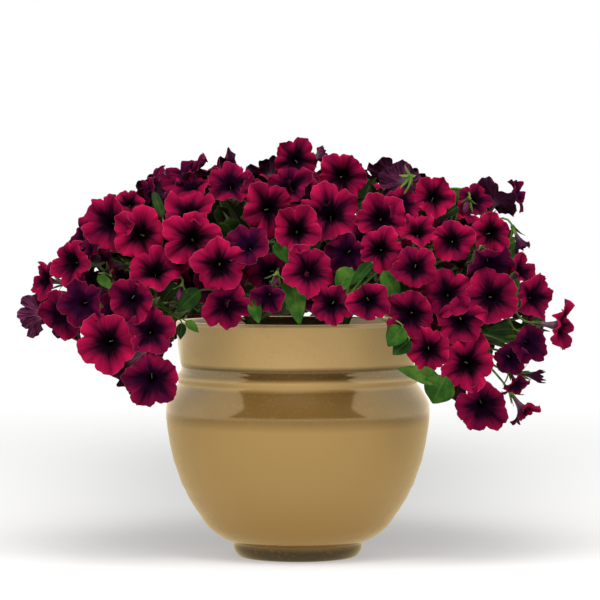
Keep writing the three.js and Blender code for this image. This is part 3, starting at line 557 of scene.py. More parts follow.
def greenTissue(name, look):
    # moist green tissue, a stem's skin or a stigma's knob: nearly without a highlight, its colour wanders
    # between two greens in patches of the grain's size, with finer relief
    material, tree = newMaterial(name)
    where = node(tree, "TexCoord", wanted="Object")
    tone = node(tree, "Attribute", wanted="Vector", attribute_name="tone")
    chance = node(tree, "SeparateXYZ", [tone], "Y")
    patches = node(tree, "TexNoise", {
        "Vector": where, "Scale": every(look["grain"]), "Detail": 4, "Roughness": 0.55})
    mottled = node(tree, "Math", [chance, 0.4, patches], operation="MULTIPLY_ADD")
    base = node(tree, "ValToRGB", [mottled], stops=[(0.4, look["low"]), (0.95, look["high"])])
    cells = node(tree, "TexNoise", {
        "Vector": where, "Scale": every(look["grain"] / 6), "Detail": 3, "Roughness": 0.55})
    bump = node(tree, "Bump", {"Height": cells, "Strength": 0.5, "Distance": look["relief"] * mm})
    shader = node(tree, "BsdfPrincipled", {
        "Base Color": base, "Roughness": look["roughness"], "IOR": 1.42, "Specular IOR Level": 0.04,
        "Normal": bump})
    node(tree, "OutputMaterial", [shader])
    return material


leafLook = {
    "greens": [(0.15, "#0B1D0D"), (0.42, "#1A3A14"), (0.68, "#2E5A1C"), (0.97, "#5E8430")],
    "vein": "#647F40", "shaded": "#0A1608", "mottle": 16.67, "down": 2.381,
    # pairs of side veins, 4 mm apart on a leaf of 44 mm, and how far they slant
    "sideVeins": 11, "slant": 3.6,
}


def leafBlade():
    # petunia leaf: soft, slightly sticky and downy, so a weak wide highlight, with a paler midrib and veins
    look = leafLook
    material, tree = newMaterial("petunia leaf")
    place = node(tree, "Attribute", wanted="Vector", attribute_name="surfaceMap")
    tone = node(tree, "Attribute", wanted="Vector", attribute_name="tone")
    side, along, _ = node(tree, "SeparateXYZ", [place], "each")
    dark, chance, _ = node(tree, "SeparateXYZ", [tone], "each")
    where = node(tree, "TexCoord", wanted="Object")
    across = node(tree, "Math", [side], operation="ABSOLUTE")
    midrib = node(tree, "MapRange", [across, 0, 1 / 9, 1, 0])
    turns = node(tree, "Math", [along, look["sideVeins"] * math.pi], operation="MULTIPLY")
    slanted = node(tree, "Math", [across, -look["slant"] * math.pi, turns], operation="MULTIPLY_ADD")
    wave = node(tree, "Math", [node(tree, "Math", [slanted], operation="SINE")], operation="ABSOLUTE")
    sideVein = node(tree, "MapRange", [wave, 0, 0.2, 0.6, 0])
    veins = node(tree, "Math", [midrib, sideVein], operation="MAXIMUM")
    patches = node(tree, "TexNoise", {
        "Vector": where, "Scale": every(look["mottle"]), "Detail": 4, "Roughness": 0.55})
    ownGreen = node(tree, "MapRange", [chance, 0, 1, -0.35, 0.35])
    mottled = node(tree, "Math", [patches, ownGreen], operation="ADD")
    base = node(tree, "ValToRGB", [mottled], stops=look["greens"])
    pale = node(tree, "Math", [veins, 0.35], operation="MULTIPLY")
    base = node(tree, "Mix", [pale, base, colour(look["vein"])], data_type="RGBA")
    shade = node(tree, "Math", [dark, 0.8], operation="MULTIPLY")
    base = node(tree, "Mix", [shade, base, colour(look["shaded"])], data_type="RGBA")
    down = node(tree, "TexNoise", {
        "Vector": where, "Scale": every(look["down"]), "Detail": 3, "Roughness": 0.55})
    down = node(tree, "Math", [down, 0.25], operation="MULTIPLY")
    height = node(tree, "Math", [down, veins], operation="SUBTRACT")
    bump = node(tree, "Bump", {"Height": height, "Strength": 0.55, "Distance": 0.8 * mm})
    shader = node(tree, "BsdfPrincipled", {
        "Base Color": base, "Roughness": 0.5, "IOR": 1.4, "Specular IOR Level": 0.08, "Normal": bump})
    node(tree, "OutputMaterial", [shader])
    return material


glazeLook = {
    "neck": "#B8975F", "light": "#AB8A53", "middle": "#9C7C45", "paintedShoulderReflection": "#705429", "pooled": "#5E4622",
    "warm": "#8F6B30", "foot": "#2A1C0A", "inside": "#8A6C3C", "speck": "#9A7C44",
    # millimetres: how wide the clouds that bend the bands of colour, the specks and the ripples are
    "clouds": 111.1, "specks": 3.846, "ripples": 29.41, "relief": 1.5,
}


def glaze():
    # stoneware with an ochre glaze fired on: a smooth clear coat that mirrors the room over a duller body,
    # darker where it pooled in the cove and at the foot, with a painted dark reflection of the room on the
    # shoulder, and with fine specks of iron
    look = glazeLook
    material, tree = newMaterial("ochre glazed stoneware")
    place = node(tree, "Attribute", wanted="Vector", attribute_name="surfaceMap")
    inside, _, height = node(tree, "SeparateXYZ", [place], "each")
    where = node(tree, "TexCoord", wanted="Object")
    clouds = node(tree, "TexNoise", {
        "Vector": where, "Scale": every(look["clouds"]), "Detail": 3, "Roughness": 0.5})
    bend = node(tree, "MapRange", [clouds, 0, 1, -0.006, 0.006])
    level = node(tree, "Math", [height, bend], operation="ADD")
    # bands of colour, as shares of the bowl's height; the shoulder's dark band is a painted reflection of the
    # dark side of the room
    base = node(tree, "ValToRGB", [level], stops=[
        (0.04, look["foot"]), (0.075, look["warm"]), (0.3, look["middle"]), (0.56, look["middle"]),
        (0.61, look["paintedShoulderReflection"]), (0.72, look["paintedShoulderReflection"]), (0.738, look["light"]), (0.762, look["light"]),
        (0.776, look["pooled"]), (0.812, look["pooled"]), (0.828, look["neck"]), (1.0, look["neck"])])
    specks = node(tree, "TexNoise", {
        "Vector": where, "Scale": every(look["specks"]), "Detail": 2, "Roughness": 0.6})
    specks = node(tree, "MapRange", [specks, 0.55, 1.3833])
    base = node(tree, "Mix", [specks, base, colour(look["speck"])], data_type="RGBA")
    base = node(tree, "Mix", [inside, base, colour(look["inside"])], data_type="RGBA")
    ripples = node(tree, "TexNoise", {
        "Vector": where, "Scale": every(look["ripples"]), "Detail": 2, "Roughness": 0.55})
    bump = node(tree, "Bump", {"Height": ripples, "Strength": 0.12, "Distance": look["relief"] * mm})
    shader = node(tree, "BsdfPrincipled", {
        "Base Color": base, "Roughness": 0.16, "IOR": 1.52, "Coat Weight": 1, "Coat Roughness": 0.05,
        "Normal": bump})
    node(tree, "OutputMaterial", [shader])
    return material


compostLook = {
    "browns": [(0.3, "#120B07"), (0.55, "#2B1C12"), (0.8, "#4A3422")],
    "perlite": "#CFC8BC", "crumb": 4.167, "relief": 3,
}


def compost():
    # peat compost with bark and a little perlite: loose crumbs, dark and without a highlight
    look = compostLook
    material, tree = newMaterial("peat potting compost")
    where = node(tree, "TexCoord", wanted="Object")
    tone = node(tree, "Attribute", wanted="Vector", attribute_name="tone")
    white = node(tree, "SeparateXYZ", [tone], "X")
    crumbs = node(tree, "TexNoise", {
        "Vector": where, "Scale": every(look["crumb"]), "Detail": 5, "Roughness": 0.7})
    base = node(tree, "ValToRGB", [crumbs], stops=look["browns"])
    base = node(tree, "Mix", [white, base, colour(look["perlite"])], data_type="RGBA")
    bump = node(tree, "Bump", {"Height": crumbs, "Strength": 1, "Distance": look["relief"] * mm})
    shader = node(tree, "BsdfPrincipled", {
        "Base Color": base, "Roughness": 0.95, "IOR": 1.4, "Normal": bump})
    node(tree, "OutputMaterial", [shader])
    return material


bowlLook = {
    "around": 160,
    # radius and height of the outer face, foot to rim
    "outside": [
        (66.5, 0), (68.5, 1.2), (70.5, 4), (72.6, 8), (73.2, 12), (73, 14.6), (73.6, 16), (77.5, 17.6),
        (83, 19.8), (89.6, 23.6), (97, 29), (102.6, 34.3), (107.5, 41), (111.3, 47.4), (115.5, 53),
        (119.6, 59.5), (124.5, 67.5), (128.7, 76.8), (131.9, 82.1), (136, 94.8), (141.2, 109.3),
        (145.2, 127.4), (148.4, 147), (149.6, 158), (149.8, 167), (149.2, 173), (147.4, 178),
        (144.6, 183), (141.2, 188.6), (138.2, 193), (136.2, 195.6), (135.4, 196.8), (136, 198.2),
        (136.8, 201), (136.7, 205), (135.6, 208), (133.6, 210), (132.4, 212), (132, 214.6),
        (132.4, 217.2), (133.2, 219.6), (134.3, 226), (135.7, 236), (136.8, 248), (137.4, 258),
        (137.8, 262.5), (138, 265), (137.4, 266.8), (136.2, 267.4),
    ],
    # and of the inner face, rim to floor
    "inside": [
        (133, 267.4), (131, 266.6), (129.8, 264), (128.4, 250), (126.6, 236), (124.5, 218), (126, 205),
        (134, 186), (137, 168), (133, 130), (119, 82), (94, 44), (60, 24),
    ],
    # the hollow under the foot, outside to middle
    "foot": [(58, 0.2), (56, 2.4), (54, 5)],
    "underside": 5, "floor": 20,  # heights at the axis
}


def makeBowl():
    look = bowlLook
    profile = look["foot"][::-1] + look["outside"] + look["inside"]
    inner = len(look["foot"]) + len(look["outside"]) + 2  # the first ring of the inner face below the lip
    around = look["around"]
    angle = np.arange(around) * tau / around
    rings = np.array([[(r * math.cos(a), r * math.sin(a), z) for a in angle] for r, z in profile])
    points = np.concatenate([rings.reshape(-1, 3), [[0, 0, look["underside"]]], [[0, 0, look["floor"]]]])
    # x is 1 inside the bowl, z is the height as a share of the bowl's
    inside = [float(i >= inner) for i in range(len(profile))]
    shares = [z / rimHeight for _, z in profile]
    surfaceMap = np.column_stack([
        np.repeat(inside, around), np.zeros(len(inside) * around), np.repeat(shares, around)])
    surfaceMap = np.concatenate([surfaceMap, [[0, 0, 0.02]], [[1, 0, 0.1]]])
    batch = Batch()
    batch.add(points, ringFaces(len(profile), around), 0, surfaceMap, (0, 0, 0))
    piece = makePiece("glazedBowl", batch, [glaze()], "pot")
    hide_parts("pot")


soilLook = {
    "around": 96, "rings": 26, "radius": 126, "middle": 4,
    "edge": 240, "slope": 60,  # height against the wall, and how far in it has risen to the top
    "crumbs": 420, "crumbSizes": (1.2, 3.4), "perliteShare": 0.16,
}


def makeSoil():
    look = soilLook
    rng = np.random.default_rng(11)
    around, radius, edge = look["around"], look["radius"], look["edge"]
    angle = np.arange(around) * tau / around

    def soilLevel(r):
        return edge + (soilTop - edge) * min(1, (radius - r) / look["slope"])

    # under the top it follows the bowl's inner face, just clear of it; the third value is how lumpy it is
    wall = [(r, z) for r, z in bowlLook["inside"][::-1] if z < 236]
    rings = [(r - 1, z + (1 if z < 60 else 0), 0) for r, z in wall]
    for r in np.linspace(radius, look["middle"], look["rings"]):
        rings.append((r, soilLevel(r), 1))
    points = []
    for r, z, lumpy in rings:
        lumps = 1.6 * np.sin(3 * angle + 0.11 * r) + 1.3 * np.sin(7 * angle - 0.23 * r)
        lumps = lumps + rng.normal(0, 0.9, around) - 2
        height = z + lumpy * min(1, max(0, (radius - r) / 12)) * lumps
        points.append(np.column_stack([r * np.cos(angle), r * np.sin(angle), height]))
    points = np.concatenate([np.array(points).reshape(-1, 3), [[0, 0, 21]], [[0, 0, soilTop - 2]]])
    batch = Batch()
    batch.add(points, ringFaces(len(rings), around), 0, np.zeros((len(points), 3)), (0, 0, 0))
    for _ in range(look["crumbs"]):
        turn, r = rng.uniform(0, tau), 118 * math.sqrt(rng.uniform())
        size = rng.uniform(*look["crumbSizes"])
        place = vec(r * math.cos(turn), r * math.sin(turn), soilLevel(r) - 1.2)
        bent = np.array([[-size, 0, 0], [0, 0, 0.5 * size], [size, 0, 0]])
        path = place + bent @ standAlong(unit(rng.normal(size=3) * vec(1, 1, 0.5))).T
        white = 1.0 if rng.uniform() < look["perliteShare"] else 0.0
        addTube(batch, path, [0.5 * size, size, 0.4 * size], 6, 0, (white, rng.uniform(), 0))
    piece = makePiece("pottingCompost", batch, [compost()], "potting_soil")
    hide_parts("potting_soil")


bloomLook = {
    "around": 90, "limbRings": 15, "size": 1.07, "skin": 0.5,
    # in bloom radii: how far out the notches between the lobes are, and the mouth of the tube
    "notch": 0.8, "mouth": 0.2,
    # radius and height of the tube in bloom radii, base to mouth
    "tube": [(0.035, -1.08), (0.05, -0.98), (0.06, -0.84), (0.07, -0.68), (0.085, -0.53), (0.11, -0.4),
             (0.135, -0.29), (0.165, -0.2)],
    # the pistil's rings: height in bloom radii, and its radius in millimetres
    "pistil": [(-0.9, 0.4), (-0.7, 0.4), (-0.45, 0.45), (-0.32, 0.5), (-0.27, 0.6), (-0.24, 0.54),
               (-0.22, 0.3)],
}


def bloomSheet(bloom):
    # a grid of points from the tube's base to the petals' edge, for a bloom that faces up; it has five lobes,
    # whose middles lie at the roll angle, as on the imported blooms, and d runs across a lobe in degrees
    rng = np.random.default_rng(1000 + bloom["item"])
    around, isOpen = bloomLook["around"], bloom["open"]
    theta = np.arange(around) * tau / around + math.radians(bloom["roll"])
    turn = (np.degrees(theta) - bloom["roll"] + 36) % 360
    lobe = (turn // 72).astype(int) % 5
    d = turn % 72 - 36
    dome = np.maximum(np.cos(np.pi * d / 72), 0)
    notch = bloomLook["notch"] + rng.uniform(-0.08, 0.04)
    length = 1 + rng.uniform(-0.1, 0.09, 5)
    tip = rng.uniform(-0.02, 0.12, 5)
    phases = rng.uniform(0, tau, 8)
    outline = notch + (length[lobe] - notch) * dome ** 0.55 + tip[lobe] * np.exp(-(d / 6) ** 2) - 0.035
    outline = outline + 0.016 * np.sin(17 * theta + phases[0]) + 0.01 * np.sin(29 * theta + phases[1])
    outline = outline * isOpen
    # each lobe is folded along its middle and twisted, so that one half of it faces the light
    fold = rng.uniform(0.07, 0.19, 5)[lobe] * np.abs(np.sin(np.pi * d / 36)) ** 0.8
    twist = rng.uniform(-0.17, 0.17, 5)[lobe] * np.sin(np.pi * d / 36)
    hang = rng.uniform(-0.12, 0.1, 5)[lobe] * dome
    sag = 0.06 * np.sin(2 * theta + phases[2]) + 0.05 * np.sin(3 * theta + phases[3])
    ruffle = (0.04 * np.sin(11 * theta + phases[4]) + 0.03 * np.sin(17 * theta + phases[5])
              + 0.016 * np.sin(27 * theta + phases[6]))
    recurve = rng.uniform(0.02, 0.16)
    curl = rng.uniform(-0.2, 0.26, 5) * (rng.uniform(size=5) < 0.6)
    lifted = 0.8 * (1 - isOpen)
    rings, reach = [], []
    for radius, z in bloomLook["tube"]:
        rings.append((np.full(around, radius), np.full(around, z)))
        reach.append(z * 0.8 - 0.02)
    for k in range(bloomLook["limbRings"]):
        s = k / (bloomLook["limbRings"] - 1)
        radius = bloomLook["mouth"] + (outline - bloomLook["mouth"]) * s
        z = -0.13 + 0.25 * (1 - (1 - s) ** 2.6) - recurve * s ** 3 + lifted * s
        z = z + (fold + twist) * s ** 1.1 + (sag + hang) * s ** 1.6 + ruffle * s ** 2.4
        z = z - 0.035 * np.exp(-(d / 3.2) ** 2) * s * (1 - 0.4 * s)
        bend = max(0, (s - 0.6) / 0.4) ** 2 * curl[lobe] * dome
        z = z + bend
        radius = radius - 0.5 * np.abs(bend)
        rings.append((radius, z))
        reach.append(s)
    radius = np.array([ring[0] for ring in rings])
    z = np.array([ring[1] for ring in rings])
    size = bloom["radius"] * bloomLook["size"]
    grid = np.stack([radius * np.cos(theta), radius * np.sin(theta), z], axis=-1) * size
    midrib = np.exp(-(d / 7) ** 2)
    # painted shade of the folds: some lobes, and some halves of lobes, are painted darker than others
    foldShade = rng.uniform(-0.1, 0.42, 5)[lobe] * dome
    foldShade = foldShade + rng.uniform(-0.3, 0.3, 5)[lobe] * np.sin(np.pi * d / 36)
    return grid, theta, np.array(reach), midrib, foldShade


def skinnedSheet(grid, thickness):
    # the same sheet a little behind, for the back of the petals
    outward = np.gradient(grid, axis=0)
    sideways = np.roll(grid, -1, axis=1) - np.roll(grid, 1, axis=1)
    normal = np.cross(outward, sideways)
    normal /= np.linalg.norm(normal, axis=2)[..., None]
    return grid - normal * thickness


def addBloom(batch, bloom):
    item = bloom["item"]
    grid, theta, reach, midrib, foldShade = bloomSheet(bloom)
    back = skinnedSheet(grid, bloomLook["skin"])
    back[-1] = grid[-1] * 0.5 + back[-1] * 0.5
    rings = np.concatenate([grid, back[::-1]])
    turn = standAlong(bloom["axis"])
    points = rings.reshape(-1, 3)
    ends = np.array([grid[0].mean(axis=0), back[0].mean(axis=0) - vec(0, 0, 0.6)])
    points = np.concatenate([points, ends]) @ turn.T + bloom["place"]
    around, front = len(theta), len(grid)
    # how far out a point is, from -1 at the tube's base over 0 at the mouth to 1 at the edge
    share = np.repeat(np.concatenate([reach, reach[::-1]]), around)
    cosines, sines = np.tile(np.cos(theta), 2 * front), np.tile(np.sin(theta), 2 * front)
    surfaceMap = np.concatenate([np.column_stack([cosines, sines, share]), [[0, 0, -1]], [[0, 0, -1]]])
    # painted shade: flowers low on the mound are painted darker as though shaded from above, the listed
    # blooms are painted dark for their age and for the shade they lie in, and those further in are older and
    # painted dark as the shade inside the mound
    low = min(1.0, max(0.0, (310 - bloom["place"][2]) / 160))
    dark = agedAndShadedBlooms.get(item, 0.06 + 0.38 * draw(item, 30) ** 1.4 + 0.24 * low)
    # painted shade: the flowers further in are painted dark, as the shade inside the mound
    if item >= hiddenLook["firstItem"]:
        dark = 0.5 + 0.45 * draw(item, 30)
    # painted shade of the folds, added to the flower's darkness
    foldShadeTone = np.tile(foldShade, 2 * front) * np.clip(share, 0, 1)
    tone = np.column_stack([
        np.clip(dark + foldShadeTone, 0, 1), np.full(len(share), draw(item, 31)), np.tile(midrib, 2 * front)])
    tone = np.concatenate([tone, tone[:1], tone[-1:]])
    faces = ringFaces(2 * front, around, outward=False)
    slots = [0 if k < front - 1 else 1 for k in range(2 * front - 1) for _ in range(around)]
    slots += [0, 1] * around
    batch.add(points, faces, slots, surfaceMap, tone)
    # the pistil that shows in the throat
    style = np.array([[0, 0, z * bloom["radius"]] for z, _ in bloomLook["pistil"]])
    style = style @ turn.T + bloom["place"]
    addTube(batch, style, [radius for _, radius in bloomLook["pistil"]], 8, 2, (0, draw(item, 33), 0))


def makeBlooms(blooms, hidden):
    face, back = petalFace(), petalBack()
    stigma = greenTissue("petunia stigma", stigmaLook)
    for name in sorted(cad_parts):
        if not name.startswith("blooms_"):
            continue
        items = [int(part) for part in name.split("_")[1:]]
        batch = Batch()
        for item in items:
            addBloom(batch, blooms[item])
        piece = makePiece("petals_" + "_".join(map(str, items)), batch, [face, back, stigma], "petals")
        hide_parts(name)
    for sector in range(6):
        batch = Batch()
        for bloom in hidden:
            if plantOf(bloom["place"]) == sector:
                addBloom(batch, bloom)
        if batch.count:
            makePiece(f"innerPetals_{sector + 1}", batch, [face, back, stigma], "petals")


greenLook = {
    # radii of a shoot from its base to its end, and of a flower's stalk from the shoot to the flower
    "shoot": (3.0, 1.5), "stalk": (1.5525, 1.15),
    "sepal": {"length": 15, "width": 1.7, "spread": 40},
    "leafThickness": 0.55,
    # how deep the painted shade is on the leaves that show in front, and on those up the shoots
    "frontDark": 0.34, "shootDark": 0.45,
    # smaller leaves between the flowers: the heights that they grow between, and how far out of the mound's
    # middle, as shares of its size
    "filler": {"count": 110, "tries": 900, "firstItem": 2000, "length": 38,
               "lowest": 240, "highest": 448, "inmost": 0.42, "outmost": 0.92},
}


def addCalyx(batch, neck, axis, item):
    # five narrow green sepals that spread from under the tube
    turn = standAlong(axis)
    look = greenLook["sepal"]
    cup = np.array([neck - axis * 1.5, neck, neck + axis * 2.2, neck + axis * 4.6])
    addTube(batch, cup, [1.2, 2.1, 2.7, 2.2], 10, 0, (0, draw(item, 40), 0))
    for i in range(5):
        angle = tau * (i + 0.35 * draw(item, 41 + i)) / 5
        outward = turn @ vec(math.cos(angle), math.sin(angle), 0)
        length = look["length"] * (0.8 + 0.45 * draw(item, 50 + i))
        spread = math.radians(look["spread"] * (0.35 + 1.1 * draw(item, 60 + i)))
        base = neck + axis * 1.4 + outward * 1.6
        end = base + length * (axis * math.cos(spread) + outward * math.sin(spread))
        middle = base + 0.5 * length * (axis * math.cos(0.4 * spread) + outward * math.sin(0.4 * spread))
        path = bezier([base, middle, end], 7)
        widths = look["width"] * np.array([0.55, 0.8, 1.0, 1.0, 0.85, 0.55, 0.12])
        addBlade(batch, path, outward, widths, 0.5, 0.25, 0, (0, draw(item, 70 + i), 0), across=2)


def addStalk(batch, curves, base, axis, item):
    # from the nearest shoot to the underside of the tube
    neck = base - axis * 4.5
    turnedAway = axis[1] > 0.25 and neck[1] < -20
    sought = neck + vec(0, 0, 16) if neck[2] < rimHeight else neck - axis * 32
    root, onward = nearestOnShoots(curves, sought)
    away = np.linalg.norm(root - neck)
    bend = min(0.45 * away, 26)
    path = bezier([root, root + onward * 0.18 * away, neck - axis * bend, neck], 12)
    if turnedAway:
        # the stalk of a flower seen from behind comes up through the middle of its plant
        root = curves[0][0]
        path = bezier([root, root + vec(0, 0, 60), neck + vec(0, 34, -40), neck], 12)
    addTube(batch, path, np.linspace(*greenLook["stalk"], 12), 8, 0, (0, draw(item, 38), 0))


leafSteps = np.linspace(0, 1, 13)


def leafPath(base, along, length, normal, droop):
    steps = leafSteps[:, None]
    return base + along * length * steps - normal * droop * length * steps ** 2.2


def leafWidths(width):
    # half the width from base to tip, widest before the middle and nowhere under half a millimetre
    shape = np.sin(np.pi * leafSteps ** 0.72) ** 0.8
    return np.maximum(0.5 * width * shape, 0.5)


def addLeaf(leaves, stems, root, base, tip, width, outward, item, dark):
    # a blade, and its stalk where it stands off its shoot
    along = tip - base
    length = np.linalg.norm(along)
    along = along / length
    side = unit(np.cross(along, outward))
    normal = np.cross(side, along)
    path = leafPath(base, along, length, normal, 0.1 + 0.16 * draw(item, 80))
    addBlade(leaves, path, normal, leafWidths(width), greenLook["leafThickness"], 0.3,
             0, (dark, draw(item, 81), 0), across=4, wave=0.025 * width)
    if root is not None and np.linalg.norm(root - base) > 1:
        # the leaf stalk keeps behind the flowers until it is close to the blade
        away = np.linalg.norm(base - root)
        middle = 0.5 * (root + base) - outward * min(0.3 * away, 12)
        reach = bezier([root, middle, base - along * min(0.3 * away, 9) - outward * 4, base + along * 1.5], 9)
        addTube(stems, reach, np.linspace(1.3, 0.8, 9), 7, 0, (0, draw(item, 82), 0))


def addBud(stems, petals, curves, tip, axis, length, item):
    # a furled flower in its calyx; its radii are for one of 24 mm
    base = tip - axis * length
    addStalk(stems, curves, base + axis * 4.5, axis, item)
    addCalyx(stems, base, axis, item)
    steps = np.linspace(0, 1, 9)
    path = base + axis * length * steps[:, None]
    radii = np.array([1.2, 1.5, 1.7, 2.0, 2.7, 3.4, 3.2, 2.0, 0.4]) * length / 24
    addTube(petals, path, radii, 14, 0, (0.15, draw(item, 90), 0))


def shootLeafList(plant, curves):
    # leaves up each shoot, each turned from the one before it and smaller towards the shoot's end
    leaves = []
    for shoot, curve in enumerate(curves):
        for step, i in enumerate(range(9, 35, 4)):
            item = 700 + 100 * plant + 20 * shoot + step
            onward = unit(curve[i] - curve[i - 1])
            turn = 2.4 * step + 1.1 * shoot + 0.7 * draw(item, 1)
            side = unit(np.cross(onward, (0.1, 0.2, 1)))
            lift = np.cross(side, onward)
            outward = unit(curve[i] - vec(0, 0, 300))
            axis = unit(0.55 * onward + 0.5 * (math.cos(turn) * side + math.sin(turn) * lift)
                        + 0.45 * outward)
            length = (44 - 2.6 * step) * (0.8 + 0.45 * draw(item, 2))
            leaves.append((curve[i], axis, length, item))
    return leaves


def insideMound(point, share):
    # whether it lies in the mound scaled by this share
    offset = np.abs(point - vec(0, 0, mound["middle"]))
    halves = vec(mound["halfWidth"], mound["halfDepth"], mound["halfHeight"]) * share
    return np.sum((offset / halves) ** mound["power"]) < 1


# the room round the bowl that stays free of leaves
bareBowl = {"radius": 156, "overRim": 3, "frontWidth": 132, "frontDepth": 60, "frontOverRim": 10}


def clearOfBowl(points):
    # nothing green goes through the bowl's wall or hangs before the bare front of its rim
    for x, y, z in points:
        if z < rimHeight + bareBowl["overRim"] and math.hypot(x, y) < bareBowl["radius"]:
            return False
        before = y < -bareBowl["frontDepth"] and abs(x) < bareBowl["frontWidth"]
        if before and z < rimHeight + bareBowl["frontOverRim"]:
            return False
    return True


def clearOfPetals(points, blooms):
    # a leaf neither goes through a flower nor stands before it; its tube is thinner than its face
    for bloom in blooms:
        local = (np.asarray(points) - bloom["place"]) @ standAlong(bloom["axis"]) / bloom["radius"]
        beside = np.hypot(local[:, 0], local[:, 1])
        if np.any((beside < 0.97) & (local[:, 2] > -0.22) & (local[:, 2] < 1.3)):
            return False
        if np.any((beside < 0.25) & (local[:, 2] > -1) & (local[:, 2] <= -0.22)):
            return False
    return True


def fillerLeaves(plant, blooms):
    # where the smaller leaves grow, and how dark each is painted, a painted shade that is darker the further
    # in
    look = greenLook["filler"]
    spots = []
    for n in range(look["tries"]):
        item = look["firstItem"] + look["tries"] * plant + n
        turn = math.radians(60 * plant + 60 * draw(item, 1))
        level = look["lowest"] + (look["highest"] - look["lowest"]) * draw(item, 2)
        spread = max(0.1, 1 - moundLevel(level)) ** (1 / mound["power"])
        depth = draw(item, 3)
        share = look["inmost"] + (look["outmost"] - look["inmost"]) * depth
        point = vec(mound["halfWidth"] * spread * share * math.cos(turn),
                    mound["halfDepth"] * spread * share * math.sin(turn), level)
        outward = unit(vec(point[0] / mound["halfWidth"], point[1] / mound["halfDepth"], (level - 250) / 260))
        lean = vec(draw(item, 4) - 0.5, draw(item, 5) - 0.5, draw(item, 6) - 0.35)
        axis = unit(outward + 1.1 * lean)
        length = look["length"] * (0.75 + 0.6 * draw(item, 7))
        tip = point + axis * length
        side = unit(np.cross(axis, outward + vec(0, 0, 0.6)))
        sample = [point, point + axis * 0.5 * length, tip]
        sample += [point + axis * 0.5 * length + side * k * 0.26 * length for k in (-1, 1)]
        free = clearOfBowl(sample + [point - axis * 10]) and insideMound(tip, 0.91)
        if free and clearOfPetals(sample, blooms):
            spots.append((point, axis, length, outward, item, 1.1 - 0.9 * depth))
    return spots[:look["count"]]


def makePlants(blooms):
    stemGreen = greenTissue("petunia stem", stemLook)
    leafGreen = leafBlade()
    budSkin = petalBack("petunia bud")
    for plant in range(6):
        curves = shootsOf(plant)
        stems, leaves, buds = Batch(), Batch(), Batch()
        crown = np.array([crownPoint(plant, height) for height in (227, 239, 251, 258)])
        addTube(stems, crown, [4.6, 4.8, 4.4, 2.5], 12, 0, (0, 0.2, 0))
        for number, curve in enumerate(curves):
            radii = np.linspace(*greenLook["shoot"], len(curve))
            addTube(stems, curve, radii, 10, 0, (0, draw(plant * 10 + number, 35), 0))
        for bloom in blooms:
            base = bloom["place"] - bloom["axis"] * bloomBase * bloom["radius"]
            if plantOf(base - bloom["axis"] * 32) == plant:
                addStalk(stems, curves, base, bloom["axis"], bloom["item"])
                addCalyx(stems, base - bloom["axis"] * 2.5, bloom["axis"], bloom["item"])
        for column, row, right, up, length, lift in budPlaces:
            tip = photoPoint(column, row, lift)
            if plantOf(photoPoint(column, row, lift - 32)) == plant:
                addBud(stems, buds, curves, tip, facing(right, up), length, 600 + column)
        for c0, r0, c1, r1, width, lift in frontLeaves:
            base, tip = photoPoint(c0, r0, lift), photoPoint(c1, r1, lift + 4)
            if plantOf(photoPoint(c0, r0, lift - 32)) == plant:
                root, _ = nearestOnShoots(curves, base)
                outward = unit(vec(0, -1, 0.35))
                addLeaf(leaves, stems, root, base, tip, width, outward, c0, greenLook["frontDark"])
        for root, axis, length, item in shootLeafList(plant, curves):
            tip = root + axis * length
            sample = [root + axis * length * share for share in (0.3, 0.65, 1)]
            if clearOfBowl(sample) and insideMound(tip, 0.93) and clearOfPetals(sample, blooms):
                upward = vec(0.05, 0.05, 1)
                addLeaf(leaves, stems, None, root, tip, 0.56 * length, upward, item, greenLook["shootDark"])
        for point, axis, length, outward, item, dark in fillerLeaves(plant, blooms):
            root, _ = nearestOnShoots(curves, point)
            tip, width = point + axis * length, (0.5 + 0.16 * draw(item, 8)) * length
            addLeaf(leaves, stems, root, point, tip, width, unit(outward + vec(0, 0, 0.6)), item, dark)
        number = plant + 1
        piece = makePiece(f"shootsAndStalks_{number}", stems, [stemGreen], "foliage")
        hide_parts(f"plant_{number}")
        makePiece(f"leaves_{number}", leaves, [leafGreen], "foliage")
        if buds.count:
            makePiece(f"buds_{number}", buds, [budSkin], "petals")


studioLook = {
    "floorRadius": 3.4, "floorAlbedo": 0.58, "floorGlow": 0.47,
    # the painted shade behind the bowl: how strong, how wide, and from where to where it grows and fades to
    # the back
    "shade": 0.42, "spread": 0.33, "shadeStart": -0.27, "shadeFull": 0.2, "shadeFalls": 0.9, "shadeEnd": 2.9,
    "fadeStart": 1.2, "fadeEnd": 3.0,  # where the paper turns into the white room
    # strength of the white room for what it lights, and of room and floor for what the glaze reflects
    "diffuse": 0.62, "glossy": 1.8, "glossyBack": 1.0, "glossyFloor": 0.6,
    "reflected": "#FFE6B4", "reflectedBack": "#FFEBC6",
    # the dark side of the room reaches from behind the camera to overhead and narrows upwards
    "darkHalf": 0.87, "darkNarrows": 0.36, "darkFrom": -0.045, "darkTo": 0.35,
}


